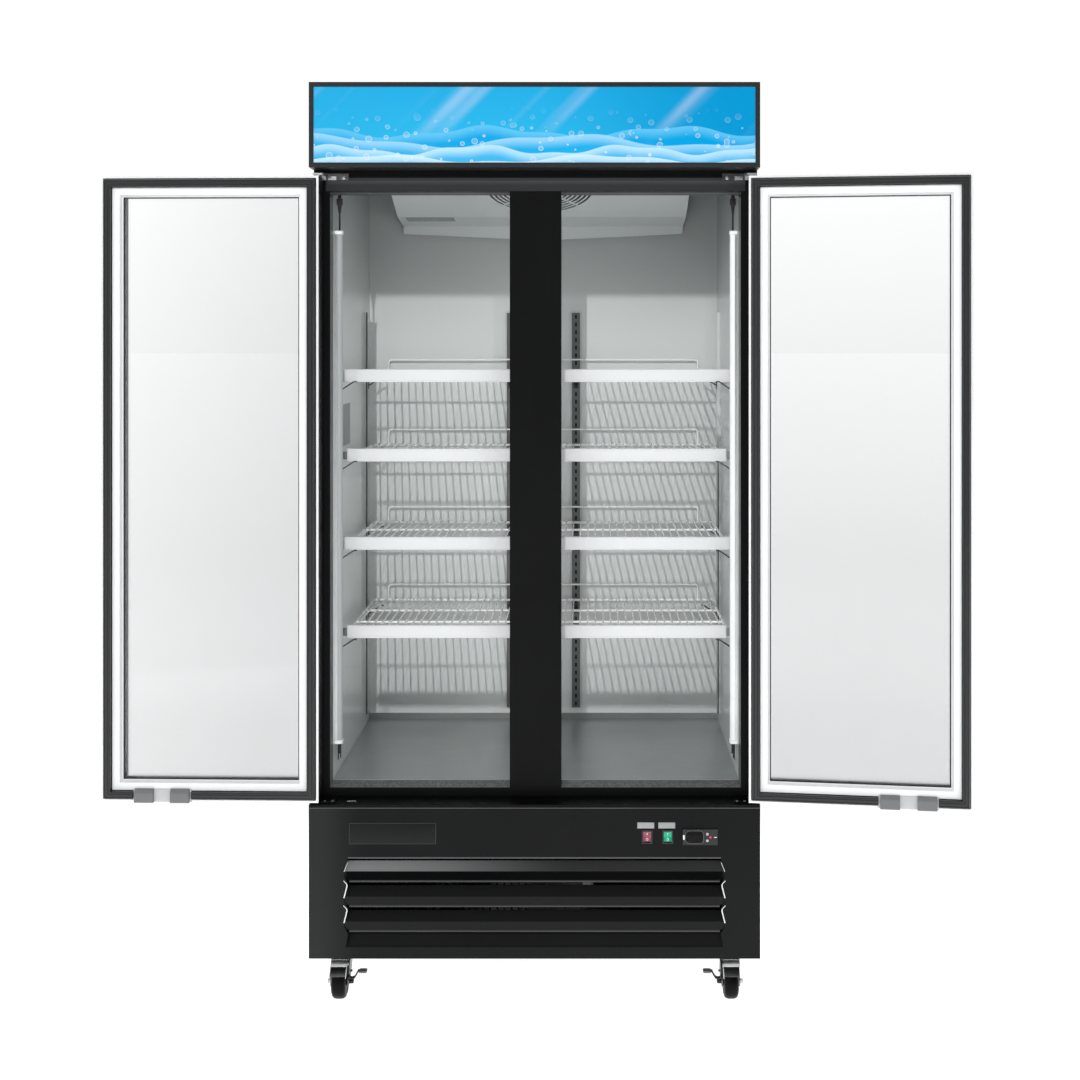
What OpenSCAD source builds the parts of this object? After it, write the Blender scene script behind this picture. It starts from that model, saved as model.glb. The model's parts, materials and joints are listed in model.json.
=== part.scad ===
// Two-door glass merchandiser refrigerator, doors open.
// Millimetres. Origin on the floor, midway between the sides and midway between the front
// plane of header and base and the back of the cabinet. +X to the right, +Y to the back, +Z up.

/* [Cabinet] */
// Width over the sides
cab_w = 1000; // [960:1:1050]
// Depth from the front plane of header and base to the back
cab_d = 700; // [680:1:740]
// Height from the floor to the top of the header
cab_h = 2050; // [2030:1:2120]
// Height of the header light box
header_h = 189; // [170:1:210]
// Height of the base panel
base_h = 341; // [330:1:360]
// Height of the casters
caster_h = 108; // [106:1:112]
// Step from the header down to the cabinet top
top_step = 4; // [1:1:10]
// Insulated side wall
wall_side = 40; // [34:1:50]
// Insulated back wall
wall_back = 58; // [50:1:70]
// Insulated top wall
wall_top = 56; // [45:1:70]
// Insulated floor
wall_floor = 46; // [35:1:55]
// Interior floor above the top of the base panel
floor_rise = 31; // [28:1:36]
// Sheet steel
sheet_t = 1.2; // [0.8:0.1:2]
// Liner
liner_t = 2; // [1.5:0.1:3]

/* [Opening] */
// Face width of the side stiles of the front frame
stile_w = 36.5; // [34:0.5:42]
// Face height of the bottom rail
rail_h = 20; // [16:0.5:22]
// Visible face height of the top rail under the header
top_rail_h = 46; // [40:1:54]
// Depth of the front frame
frame_t = 20; // [14:1:30]
// Width of the centre mullion
mullion_w = 116; // [100:1:140]
// Depth of the centre mullion
mullion_d = 50; // [40:1:60]
// Wall of the mullion tube
mullion_wall = 1.5; // [1:0.1:3]
// Lip of the breaker strip at its front edge
breaker_lip = 1; // [0.6:0.1:2]
// Drop of the breaker strip from the opening's top to the interior's top
breaker_drop = 8; // [6:0.5:12]
// Floor panel sheet
floor_t = 1.5; // [1:0.1:3]
// Rear upstand of the floor panel
floor_upstand = 16; // [8:1:25]

/* [Doors] */
// Door thickness
door_t = 50; // [46:1:56]
// Space between the closed door and the front frame, filled by the gasket
seal_gap = 12; // [10:0.5:16]
// Gap between the two closed doors
door_mid_gap = 4; // [3:0.5:8]
// Cabinet side to the closed door's edge
door_side_gap = 12; // [10:0.5:16]
// Gap under the door
door_low_gap = 4; // [3.8:0.1:8]
// Gap from the door up to the header
door_top_gap = 18.5; // [16:0.5:24]
// Hinge axis from the door's edge
hinge_inset = 5; // [4.5:0.1:8]
// Radius of the hinge pins
hinge_pin_r = 3; // [2.5:0.1:3.5]
// Radial clearance of the pins in the door
hinge_clear = 0.05; // [0.02:0.01:0.1]
// Length of a hinge pin inside the door
hinge_pin_l = 20; // [12:1:30]
// Opening angle of the left door at rest
left_open = 181.5; // [90:0.5:181.5]
// Opening angle of the right door at rest
right_open = 172.5; // [90:0.5:181.5]
// Width of the bright rim
rim_w = 5; // [4.5:0.5:8]
// Width of the gasket
gasket_w = 20; // [16:1:24]
// Width of the pale inner frame
inner_w = 21; // [16:1:28]
// Depth from the inner frame's face down to the glass
reveal_d = 18; // [12:1:20]
// Thickness of the outer face of the door frame
door_face_t = 10; // [8:0.5:12]
// Bite of the frame over the glass edge
glass_bite = 12; // [10:1:20]
// Width of the finger groove in the free stile
groove_w = 16; // [12:1:20]
// Depth of the finger groove
groove_d = 12; // [10:1:14]
// Length of the finger groove
groove_l = 420; // [300:5:600]
// Finger groove above the door's lower edge
groove_up = 620; // [560:5:700]
// Length of the bumper plate on the door's lower edge
bumper_l = 130; // [110:1:160]
// Free edge to the bumper plate
bumper_in = 74; // [60:1:90]
// Length of one bumper pad
pad_l = 42; // [34:1:46]
// Height of the bumper pads
pad_h = 31; // [26:1:34]

/* [Shelves] */
// Pitch of the pilaster slots
slot_pitch = 20.4; // [19:0.1:22]
// Front edge of the lowest shelf above the interior floor
shelf_1_up = 340; // [300:1:360]
// Shelf front behind the front plane
shelf_in = 150; // [140:1:160]
// Shelf back to the back wall
shelf_back_gap = 13; // [12:1:20]
// Shelf to the cabinet centre plane
shelf_mid_gap = 9; // [6:0.5:14]
// Shelf to the side pilaster
shelf_side_gap = 4; // [2:0.5:5]
// Height of the price strip
strip_h = 30; // [26:1:30]
// Thickness of the price strip
strip_t = 8; // [6:0.5:10]
// Frame wire below the top of the price strip
wire_drop = 23.2; // [23:0.1:24]
// Radius of the shelf's frame wire
frame_wire_r = 3; // [2.5:0.1:3.5]
// Radius of the front-to-back wires
rod_r = 1.5; // [1.2:0.1:2]
// Pitch of the front-to-back wires
rod_pitch = 18.5; // [15:0.5:25]
// Back-stop wire above the top of the price strip
stop_up = 20; // [15:1:28]
// Width of a pilaster
pilaster_w = 21; // [18:1:24]
// Depth of a pilaster
pilaster_d = 8; // [7:0.5:10]
// Lift of a shelf off its clips
shelf_lift = 25; // [10:1:30]

/* [Evaporator] */
// Width of the cover
cover_w = 736; // [700:1:760]
// Slope of the front part of the cover in degrees
cover_slope = 20.5; // [18:0.1:23]
// Slope of its rear part in degrees
cover_rear_slope = 6.3; // [5:0.1:8]
// Length of the rear part
cover_rear_l = 126; // [110:1:140]
// Drop from the interior's ceiling to the low end of the cover
cover_drop = 210; // [200:1:220]
// Height of the drip lip at its ends
lip_side = 20; // [14:1:26]
// Height of the drip lip in the middle
lip_mid = 37; // [30:1:44]
// Radius of the fan grille
grille_r = 131; // [126:1:136]
// Radius of both fans
fan_r = 98; // [85:1:104]

/* [Base] */
// Half width of the louvre opening
louvre_hw = 422; // [380:1:440]
// Pitch of the louvres
louvre_pitch = 55.2; // [52:0.2:58]
// Strip of panel under the louvres
louvre_low = 26; // [20:1:34]
// Depth of the louvres
louvre_d = 16; // [12:1:20]
// Centre of the controls below the panel's top edge
control_drop = 71; // [66:1:76]

/* [Casters] */
// Caster axis from the cabinet side
caster_side = 61; // [58:1:70]
// Front caster axis behind the front plane
caster_front = 82; // [80:1:95]
// Rear caster axis in front of the back
caster_rear = 82; // [80:1:95]
// Radius of the wheel
wheel_r = 37.5; // [36:0.5:38]
// Width of the wheel
wheel_w = 34; // [30:1:36]
// Radius of the wheel axle
axle_r = 5; // [4:0.1:6]
// Radial clearance in the caster's bores
caster_clear = 0.05; // [0.02:0.01:0.1]
// Offset of the wheel from the swivel axis
trail = 30; // [26:1:34]

/* [Hidden] */
$fn = 48;
e = 0.1;
fit = 0.3;
hw = cab_w / 2;
y_front = -cab_d / 2;
y_back = cab_d / 2;
y_frame = y_front + door_t + seal_gap;
y_shell = y_frame + frame_t;
z_base = caster_h + base_h;
z_head = cab_h - header_h;
z_top = cab_h - top_step;
open_hw = hw - stile_w;
open_z0 = z_base + rail_h;
open_z1 = z_head - top_rail_h;
in_hw = hw - wall_side;
z_floor = z_base + floor_rise;
z_ceil = z_top - wall_top;
z_in1 = open_z1 - breaker_drop;
y_in = y_back - wall_back;
z_deck = z_floor - liner_t - wall_floor;
z_floor_top = z_floor + floor_t;
pan_t = 2;
z_pan = caster_h + pan_t;

// Doors
door_w = hw - door_side_gap - door_mid_gap / 2;
door_z0 = z_base + door_low_gap;
door_h = z_head - door_top_gap - door_z0;
pivot_x = hw - door_side_gap - hinge_inset;
pivot_y = y_front + door_t / 2;
gasket_t = seal_gap - fit;
glass_face = door_t - reveal_d;
border = rim_w + gasket_w + inner_w;
glass_in = border - glass_bite;
seat_t = 4;
seat_face = door_t - 8;

// Shelves
y_shelf = y_front + shelf_in;
y_shelf_back = y_in - shelf_back_gap;
side_x = in_hw - pilaster_d;
shelf_x0 = shelf_mid_gap;
shelf_x1 = side_x - shelf_side_gap;
shelf_steps = [0, 10, 20, 29];
function shelf_top(i) = z_floor + shelf_1_up + slot_pitch * shelf_steps[i];
function wire_z(i) = shelf_top(i) - wire_drop;
clip_h = 22;
clip_w = 11;
pilaster_z0 = z_floor + 32;
pilaster_slots = 51;
pilaster_l = slot_pitch * pilaster_slots;
back_pilaster_x = 86;
mid_pilaster_x = 34;
side_pilaster_y = [y_shelf + 10, y_in - 71];
mullion_y = y_frame + mullion_d;
led_y = y_frame + 38;
led_w = 24;
led_out = 18;
led_z0 = z_floor + 77;
led_z1 = z_in1 - 79;
led_cap = 8;

// Evaporator
cover_t = 1.5;
cover_front = y_frame + 138;
cover_back = y_in - 13;
cover_low = z_ceil - cover_drop;
fan_in = 291;
fan_y = y_frame + fan_in;
bend_y = cover_back - cover_rear_l;
bend_z = cover_low + cover_rear_l * tan(cover_rear_slope);
function cover_z(y) = bend_z + (bend_y - y) * tan(cover_slope);

// Base
panel_back = y_shell;
louvre_z0 = caster_h + louvre_low;
louvre_n = 3;
louvre_z1 = louvre_z0 + 31 + louvre_pitch * louvre_n;
control_z = z_base - control_drop;
switch_in = [250.5, 205];
switch_x = [hw - switch_in[0], hw - switch_in[1]];
switch_w = 24;
switch_h = 30;
bezel_rim = 3;
bezel_out = 2;
bezel_back = 20;
rocker_gap = 0.3;
rocker_tilt = 8;
rocker_y = y_front + 6;
controller_in = 133;
controller_x = hw - controller_in;
controller_w = 77;
controller_h = 34.5;
controller_out = 3.5;
controller_body = 45;
button_dx = 15.6;
button_dz = 7.3;
button_r = 3;
button_clear = 0.05;
button_out = 1.2;
button_travel = 0.8;

// Casters
plate_t = 3.5;
cup_h = 5.5;
crown_t = 3.5;
leg_t = 3;
fork_gap = 2;
leg_in = wheel_w / 2 + fork_gap / 2;
king_r = 6;
caster_x = hw - caster_side;
caster_y = [y_front + caster_front, y_back - caster_rear];
bolt_r = 4;
bolt_in = 28;
z_cup = caster_h - plate_t - cup_h;
z_crown = z_cup - fit;
shoe_gap = 2.5;

// A box given by its lowest and highest corners
module box(a, b) {
    translate(a)
        cube(b - a);
}

// The same shape on both sides of the centre plane
module both() {
    children();
    mirror([1, 0, 0])
        children();
}

// Polygon in the Y-Z plane, extruded along X from x0 to x1
module yz(x0, x1, points) {
    translate([x0, 0, 0])
        rotate([90, 0, 90])
            linear_extrude(x1 - x0)
                polygon(points);
}

// Polygon in the X-Z plane, extruded along Y from y0 to y1
module xz(y0, y1, points) {
    translate([0, y1, 0])
        rotate([90, 0, 0])
            linear_extrude(y1 - y0)
                polygon(points);
}

// Cylinder along X or Y between two coordinates
module rod_x(x0, x1, y, z, r) {
    translate([x0, y, z])
        rotate([0, 90, 0])
            cylinder(r = r, h = x1 - x0);
}

module rod_y(y0, y1, x, z, r) {
    translate([x, y0, z])
        rotate([-90, 0, 0])
            cylinder(r = r, h = y1 - y0);
}

// Eight-sided wires with flats on top, along X, Y or Z
module wire_x(x0, x1, y, z, r) {
    translate([x0, y, z])
        rotate([0, 90, 0])
            rotate(22.5)
                cylinder(r = r / cos(22.5), h = x1 - x0, $fn = 8);
}

module wire_y(y0, y1, x, z, r) {
    translate([x, y0, z])
        rotate([-90, 0, 0])
            rotate(22.5)
                cylinder(r = r / cos(22.5), h = y1 - y0, $fn = 8);
}

module wire_z(z0, z1, x, y, r) {
    translate([x, y, z0])
        rotate(22.5)
            cylinder(r = r / cos(22.5), h = z1 - z0, $fn = 8);
}

// Tube of round section through a list of points, with a frame carried along the path
function unit(v) = v / norm(v);
function tangent(p, i) = unit(p[min(i + 1, len(p) - 1)] - p[max(i - 1, 0)]);
function square_to(n, t) = unit(n - (n * t) * t);
function normals(p, n0) =
    [for (i = 0, n = square_to(n0, tangent(p, 0)); i < len(p);
        i = i + 1, n = i < len(p) ? square_to(n, tangent(p, i)) : n) n];

module tube(path, r, sides, n0) {
    ns = normals(path, n0);
    rings = [for (i = [0 : len(path) - 1]) for (k = [0 : sides - 1])
        let (t = tangent(path, i), a = 360 * k / sides)
            path[i] + r * (cos(a) * ns[i] + sin(a) * cross(t, ns[i]))];
    n = len(path);
    walls = [for (i = [0 : n - 2]) for (k = [0 : sides - 1])
        let (a = i * sides + k, b = i * sides + (k + 1) % sides)
            [[a, b + sides, b], [a, a + sides, b + sides]]];
    caps = [[for (k = [0 : sides - 1]) k], [for (k = [sides - 1 : -1 : 0]) (n - 1) * sides + k]];
    polyhedron(rings, concat([for (w = walls) for (f = w) f], caps));
}

// Round the corners of a path with short three-point bends
function rounded(p, r) = concat([p[0]],
    [for (i = [1 : len(p) - 2])
        let (a = p[i] + unit(p[i - 1] - p[i]) * r, b = p[i] + unit(p[i + 1] - p[i]) * r)
            for (q = [a, (a + b) / 4 + p[i] / 2, b]) q],
    [p[len(p) - 1]]);

// Cabinet
line_x = -200;
line_w = 18;
line_y = y_in + liner_t + 20;
line_z = z_ceil - 60;

module outer_shell() {
    color([0.07, 0.07, 0.075])
        difference() {
            box([-hw, y_shell, caster_h], [hw, y_back, z_top]);
            box([-hw + sheet_t, y_shell - 1, z_deck], [hw - sheet_t, y_back - sheet_t, z_top - sheet_t]);
            box([-hw + sheet_t, y_shell - 1, caster_h - 1],
                [hw - sheet_t, y_back + 1, z_deck - sheet_t]);
            box([line_x, line_y, z_deck - 5], [line_x + line_w, line_y + line_w, z_deck + 1]);
        }
}

module insulation() {
    color([0.93, 0.88, 0.7])
        difference() {
            box([-hw + sheet_t, y_shell, z_deck], [hw - sheet_t, y_back - sheet_t, z_top - sheet_t]);
            box([-in_hw - liner_t, y_shell - 1, z_floor - liner_t],
                [in_hw + liner_t, y_in + liner_t, z_ceil + liner_t]);
            box([line_x, line_y, z_deck - 1], [line_x + line_w, line_y + line_w, line_z + line_w]);
            box([line_x, y_in - 1, line_z], [line_x + line_w, line_y + 1, line_z + line_w]);
        }
}

module liner() {
    color([0.8, 0.83, 0.82])
        difference() {
            box([-in_hw - liner_t, y_shell, z_floor - liner_t],
                [in_hw + liner_t, y_in + liner_t, z_ceil + liner_t]);
            box([-in_hw, y_shell + liner_t, z_floor], [in_hw, y_in, z_ceil]);
            box([-in_hw, y_shell - 1, z_floor], [in_hw, y_shell + liner_t + 1, z_in1]);
            box([line_x, y_in - 1, line_z], [line_x + line_w, y_in + liner_t + 1, line_z + line_w]);
        }
}

module floor_panel() {
    color([0.55, 0.57, 0.57])
        yz(-in_hw + fit, in_hw - fit, [
            [y_shell, z_floor], [y_in, z_floor], [y_in, z_floor + floor_upstand],
            [y_in - floor_t, z_floor + floor_upstand], [y_in - floor_t, z_floor_top],
            [y_shell, z_floor_top]]);
}

module frame_outline() {
    difference() {
        translate([-hw, z_base])
            square([cab_w, z_top - z_base]);
        translate([-open_hw, open_z0])
            square([2 * open_hw, open_z1 - open_z0]);
    }
}

module front_frame() {
    color([0.08, 0.08, 0.085])
        difference() {
            translate([0, y_shell, 0])
                rotate([90, 0, 0])
                    linear_extrude(frame_t)
                        frame_outline();
            translate([0, y_shell + 1, 0])
                rotate([90, 0, 0])
                    linear_extrude(frame_t + 1 - sheet_t)
                        difference() {
                            translate([-hw + sheet_t, z_base + sheet_t])
                                square([cab_w - 2 * sheet_t, z_top - z_base - 2 * sheet_t]);
                            translate([-open_hw - sheet_t, open_z0 - sheet_t])
                                square([2 * (open_hw + sheet_t), open_z1 - open_z0 + 2 * sheet_t]);
                        }
        }
}

module mullion_ends(grow) {
    box([-mullion_w / 2 - grow, y_frame - grow, open_z0 - grow],
        [mullion_w / 2 + grow, y_shell + grow, z_floor_top]);
    box([-mullion_w / 2 - grow, y_frame - grow, z_in1],
        [mullion_w / 2 + grow, y_shell + grow, open_z1 + grow]);
}

module mullion() {
    color([0.06, 0.06, 0.065]) {
        difference() {
            box([-mullion_w / 2, y_frame, z_floor_top], [mullion_w / 2, mullion_y, z_in1]);
            box([-mullion_w / 2 + mullion_wall, y_frame + mullion_wall, z_floor_top - 1],
                [mullion_w / 2 - mullion_wall, mullion_y - mullion_wall, z_in1 + 1]);
        }
        mullion_ends(0);
    }
}

module breaker_strip() {
    color([0.22, 0.22, 0.23])
        difference() {
            union() {
                yz(-open_hw, open_hw, [
                    [y_frame, open_z0], [y_shell, open_z0], [y_shell, z_floor],
                    [y_frame, open_z0 + breaker_lip]]);
                yz(-open_hw, open_hw, [
                    [y_frame, open_z1], [y_shell, open_z1], [y_shell, z_in1],
                    [y_frame, open_z1 - breaker_lip]]);
                both()
                    translate([0, 0, open_z0])
                        linear_extrude(open_z1 - open_z0)
                            polygon([[open_hw, y_frame], [open_hw, y_shell], [in_hw, y_shell],
                                [open_hw - breaker_lip, y_frame]]);
            }
            box([-mullion_w / 2, y_frame - 1, open_z0 - 1],
                [mullion_w / 2, y_shell + 1, open_z1 + 1]);
        }
}

// Evaporator cover: a sloping tray with a V-shaped drip lip and arc slots under the fan
module at_fan(offset) {
    translate([0, fan_y, cover_z(fan_y)])
        rotate([-cover_slope, 0, 0])
            translate([0, 0, offset])
                children();
}

module evaporator_cover() {
    half = cover_w / 2;
    drop = cover_t / cos(cover_slope);
    rings = 8;
    ring_pitch = 11;
    slot = 5.5;
    spoke = 7;
    color([0.9, 0.91, 0.91]) {
        difference() {
            yz(-half, half, [
                [cover_front, cover_z(cover_front)], [bend_y, bend_z], [cover_back, cover_low],
                [cover_back, cover_low + drop], [bend_y, bend_z + drop],
                [cover_front, cover_z(cover_front) + drop]]);
            difference() {
                at_fan(-8)
                    for (i = [0 : rings - 1])
                        difference() {
                            cylinder(r = grille_r - i * ring_pitch, h = 16);
                            translate([0, 0, -1])
                                cylinder(r = grille_r - i * ring_pitch - slot, h = 18);
                        }
                at_fan(-9)
                    for (a = [45, 135])
                        rotate(a)
                            translate([-2 * grille_r, -spoke / 2, 0])
                                cube([4 * grille_r, spoke, 18]);
            }
        }
        both()
            yz(half - cover_t, half, [
                [cover_front, cover_z(cover_front)], [bend_y, bend_z], [cover_back, cover_low],
                [cover_back, z_ceil], [cover_front, z_ceil]]);
        xz(cover_back - cover_t, cover_back, [
            [-half, cover_low + drop], [half, cover_low + drop], [half, cover_low - lip_side],
            [0, cover_low - lip_mid], [-half, cover_low - lip_side]]);
    }
}

// Coils: one behind the evaporator fan, one behind the louvres
coil_x = 300;
coil_y = [fan_y + 116, cover_back - 9];
coil_z0 = z_ceil - 140;
condenser_x = [-390, -10];
condenser_y = [y_front + 30, y_front + 78];
condenser_z1 = z_pan + 255;
fin_pitch = 16;
tube_rows = 5;
tube_end = condenser_x[0] + floor((condenser_x[1] - condenser_x[0] - 1) / fin_pitch) * fin_pitch + 7;
tube_y = (condenser_y[0] + condenser_y[1]) / 2;
tube_top = condenser_z1 - (condenser_z1 - z_pan) * 0.5 / tube_rows;

module fin_block(x0, x1, y0, y1, z0, z1, pitch, rows, cols) {
    count = floor((x1 - x0 - 1) / pitch);
    for (i = [0 : count])
        box([x0 + i * pitch, y0, z0], [x0 + i * pitch + 1, y1, z1]);
    for (a = [1 : cols])
        for (b = [1 : rows])
            wire_x(x0 - 6, x0 + count * pitch + 7, y0 + (y1 - y0) * (a - 0.5) / cols,
                z0 + (z1 - z0) * (b - 0.5) / rows, 4);
}

module finned_coils() {
    color([0.75, 0.77, 0.78]) {
        fin_block(-coil_x, coil_x, coil_y[0], coil_y[1], coil_z0, z_ceil, 20, 3, 2);
        fin_block(condenser_x[0], condenser_x[1], condenser_y[0], condenser_y[1], z_pan,
            condenser_z1, fin_pitch, tube_rows, 1);
    }
}

// Fans
condenser_fan_x = (condenser_x[0] + condenser_x[1]) / 2;
condenser_fan_z = z_pan + 128;
condenser_fan_y = condenser_y[1] + 24;
fan_depth = 24;
hub_r = 26;
shaft_r = 4;
fan_clear = 0.05;
fan_lift = 14;
motor_lift = 48;

module fan() {
    blades = 5;
    difference() {
        union() {
            cylinder(r = hub_r, h = fan_depth);
            for (i = [0 : blades - 1])
                rotate(i * 360 / blades)
                    translate([hub_r - 3, 0, fan_depth / 2])
                        rotate([32, 0, 0])
                            translate([0, -21, -0.8])
                                cube([fan_r - hub_r, 42, 1.6]);
        }
        translate([0, 0, -1])
            cylinder(r = shaft_r + fan_clear, h = fan_depth + 2);
    }
}

module motor(shaft) {
    cylinder(r = 36, h = 50);
    translate([0, 0, -shaft])
        cylinder(r = shaft_r, h = shaft + 1);
}

module condenser_fan_at() {
    translate([condenser_fan_x, condenser_fan_y, condenser_fan_z])
        rotate([-90, 0, 0])
            children();
}

module fan_motors() {
    shaft = motor_lift - fan_lift;
    color([0.35, 0.36, 0.37]) {
        difference() {
            union() {
                at_fan(motor_lift)
                    motor(shaft);
                at_fan(motor_lift + 40)
                    translate([-20, -12, 0])
                        cube([40, 24, 100]);
            }
            box([-100, fan_y - 200, z_ceil], [100, fan_y + 300, z_ceil + 200]);
        }
        condenser_fan_at()
            translate([0, 0, shaft])
                motor(shaft);
        box([condenser_fan_x - 20, condenser_fan_y + shaft + 12, z_pan],
            [condenser_fan_x + 20, condenser_fan_y + shaft + 38, condenser_fan_z - 20]);
    }
}

module evaporator_fan() {
    color([0.15, 0.15, 0.16])
        at_fan(fan_lift)
            fan();
}

module condenser_fan() {
    color([0.15, 0.15, 0.16])
        condenser_fan_at()
            fan();
}

// Slotted pilasters: a channel with its back open, drawn standing at the origin, facing -Y
module pilaster() {
    skin = 1.5;
    slot_w = 5;
    slot_l = 10;
    translate([0, skin, 0])
        rotate([90, 0, 0])
            linear_extrude(skin)
                difference() {
                    translate([-pilaster_w / 2, 0])
                        square([pilaster_w, pilaster_l]);
                    for (i = [0 : pilaster_slots - 1])
                        translate([-slot_w / 2, (i + 0.5) * slot_pitch - slot_l / 2])
                            square([slot_w, slot_l]);
                }
    for (s = [-1, 1])
        translate([s * (pilaster_w - skin) / 2 - skin / 2, skin / 2, 0])
            cube([skin, pilaster_d - skin / 2, pilaster_l]);
}

module pilasters() {
    color([0.6, 0.61, 0.61])
        both() {
            translate([back_pilaster_x, y_in - pilaster_d, pilaster_z0])
                pilaster();
            translate([mid_pilaster_x, mullion_y + pilaster_d, pilaster_z0])
                mirror([0, 1, 0])
                    pilaster();
            for (y = side_pilaster_y)
                translate([side_x, y, pilaster_z0])
                    rotate(-90)
                        pilaster();
        }
}

// Shelf clips: brackets that hook on the pilasters, their tops just under the frame wire.
// Those on the mullion are stepped, so that they pass under the price strip.
clip_step = strip_h - wire_drop - frame_wire_r + fit;

module clip(reach, tip) {
    rotate([90, 0, 90])
        translate([0, 0, -clip_w / 2])
            linear_extrude(clip_w)
                polygon([[0, -clip_step], [tip - reach, -clip_step], [tip - reach, 0], [-reach, 0],
                    [-reach, -clip_step - 3], [-5, -clip_h], [0, -clip_h]]);
}

module shelf_clips() {
    color([0.3, 0.31, 0.31])
        for (i = [0 : len(shelf_steps) - 1])
            translate([0, 0, wire_z(i) - frame_wire_r - fit])
                both() {
                    translate([back_pilaster_x, y_in - pilaster_d, 0])
                        clip(14, 13);
                    translate([mid_pilaster_x, mullion_y + pilaster_d, 0])
                        mirror([0, 1, 0])
                            clip(y_shelf + 10 - mullion_y - pilaster_d, 9.5);
                    for (y = side_pilaster_y)
                        translate([side_x, y, 0])
                            rotate(-90)
                                clip(12, 11);
                }
}

// One half-width shelf: welded wires and a price strip over the front wire
module shelf(i) {
    z = wire_z(i);
    r = frame_wire_r;
    y0 = y_shelf + r;
    y1 = y_shelf_back - r;
    x0 = shelf_x0 + r;
    x1 = shelf_x1 - r;
    stop_r = 2;
    stop_x0 = x0 + 18;
    stop_x1 = x1 - 38;
    stop_z = shelf_top(i) + stop_up - stop_r;
    rods = floor((x1 - x0 - rod_pitch / 2) / rod_pitch);
    first = (x0 + x1 - rods * rod_pitch) / 2;
    color([0.94, 0.95, 0.95]) {
        wire_x(x0 - r, x1 + r, y0, z, r);
        wire_x(x0 - r, x1 + r, y1, z, r);
        wire_y(y0 + 0.7, y1 - 0.7, x0, z + 0.2, r - 0.3);
        wire_y(y0 + 0.7, y1 - 0.7, x1, z + 0.2, r - 0.3);
        for (f = [0.34, 0.67])
            wire_x(x0 + 0.4, x1 - 0.4, y0 + f * (y1 - y0), z - 0.3, r - 0.6);
        for (k = [0 : rods])
            wire_y(y0 - 1.3, y1 + 1.3, first + k * rod_pitch, z + r - 0.2, rod_r);
        wire_z(z + 0.6, stop_z + 0.6, stop_x0, y1 - 0.4, stop_r);
        wire_z(z + 0.6, stop_z + 0.6, stop_x1, y1 - 0.4, stop_r);
        wire_x(stop_x0 - 3.3, stop_x1 + 3.3, y1 - 0.7, stop_z, stop_r);
        yz(shelf_x0, shelf_x1, [
            [y_shelf - fit, z - r], [y_shelf - fit - strip_t, shelf_top(i) - strip_h],
            [y_shelf - fit - strip_t, shelf_top(i) - 2], [y_shelf - fit - strip_t + 2, shelf_top(i)],
            [y_shelf - fit + 4, shelf_top(i)], [y_shelf - fit + 4, z + 2 * r + rod_r],
            [y_shelf - fit, z + 2 * r]]);
    }
}

// LED bars on the side walls, with end caps, and the cable that goes up into the wall
module led_profile(grow) {
    translate([in_hw - led_out, led_y])
        translate([-grow, -grow])
            square([led_out + grow, led_w + 2 * grow]);
}

module led_bars() {
    color([0.95, 0.96, 0.97])
        both() {
            translate([0, 0, led_z0 + led_cap])
                linear_extrude(led_z1 - led_z0 - 2 * led_cap) {
                    translate([in_hw - 6, led_y])
                        square([6, led_w]);
                    intersection() {
                        translate([in_hw - led_out + led_w / 2, led_y + led_w / 2])
                            circle(r = led_w / 2);
                        translate([in_hw - led_out, led_y])
                            square([led_out - 3, led_w]);
                    }
                }
            for (z = [led_z0, led_z1 - led_cap])
                translate([0, 0, z])
                    linear_extrude(led_cap)
                        led_profile(0.6);
        }
}

cable_x = in_hw - 10;
cable_y = led_y + led_w / 2;
cable_top = z_in1 + 36;

module led_cables() {
    color([0.04, 0.04, 0.04])
        both() {
            translate([cable_x, cable_y, led_z1]) {
                cylinder(r = 2.2, h = 44);
                translate([0, 0, 40])
                    cylinder(r1 = 2.6, r2 = 5, h = 20);
                translate([0, 0, 60])
                    cylinder(r = 7, h = 14);
                translate([0, 0, 74])
                    cylinder(r = 4.2, h = cable_top - led_z1 - 74);
            }
            rod_x(cable_x, in_hw, cable_y, cable_top, 4.2);
            translate([cable_x, cable_y, cable_top])
                sphere(r = 4.2);
            translate([cable_x, cable_y, led_z0 - 24])
                cylinder(r = 3.4, h = 24);
        }
}

// Header
header_lip = 10.5;
header_sheet = 1.5;
sign_t = 3;

module header_box() {
    color([0.07, 0.07, 0.075])
        difference() {
            box([-hw, y_front, z_head], [hw, y_frame, cab_h]);
            box([-hw + header_sheet, y_front + header_sheet, z_head + header_sheet],
                [hw - header_sheet, y_frame + 1, cab_h - header_sheet]);
            box([-hw + header_lip, y_front - 1, z_head + header_lip],
                [hw - header_lip, y_front + header_sheet + 1, cab_h - header_lip]);
        }
}

module sign_panel() {
    color([0.2, 0.62, 0.9])
        box([-hw + header_sheet + 2, y_front + header_sheet, z_head + header_sheet + 2],
            [hw - header_sheet - 2, y_front + header_sheet + sign_t, cab_h - header_sheet - 2]);
}

module header_lamps() {
    color([0.95, 0.95, 0.92])
        for (f = [0.3, 0.7])
            box([-hw + 30, y_frame - 12, z_head + f * header_h - 9],
                [hw - 30, y_frame, z_head + f * header_h + 9]);
}

// Base panel with three pressed louvres. Each is recessed at its top edge and meets the
// panel's face at its crease; its ends lean out towards the crease.
slant_h = 20;
under_h = 19;
lip_in = 9;
louvre_t = 1.5;

function crease_z(i) = louvre_z1 - 30 - i * louvre_pitch;
louvre_gap = louvre_pitch - slant_h - under_h;
function window_side(s) = [for (i = [0 : louvre_n - 1]) for (p = [
    [louvre_hw - lip_in, crease_z(i) + slant_h + (i == 0 ? 10 : louvre_gap / 2)],
    [louvre_hw, crease_z(i)],
    [louvre_hw, crease_z(i) - under_h / 2]]) [s * p[0], p[1]]];

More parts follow.
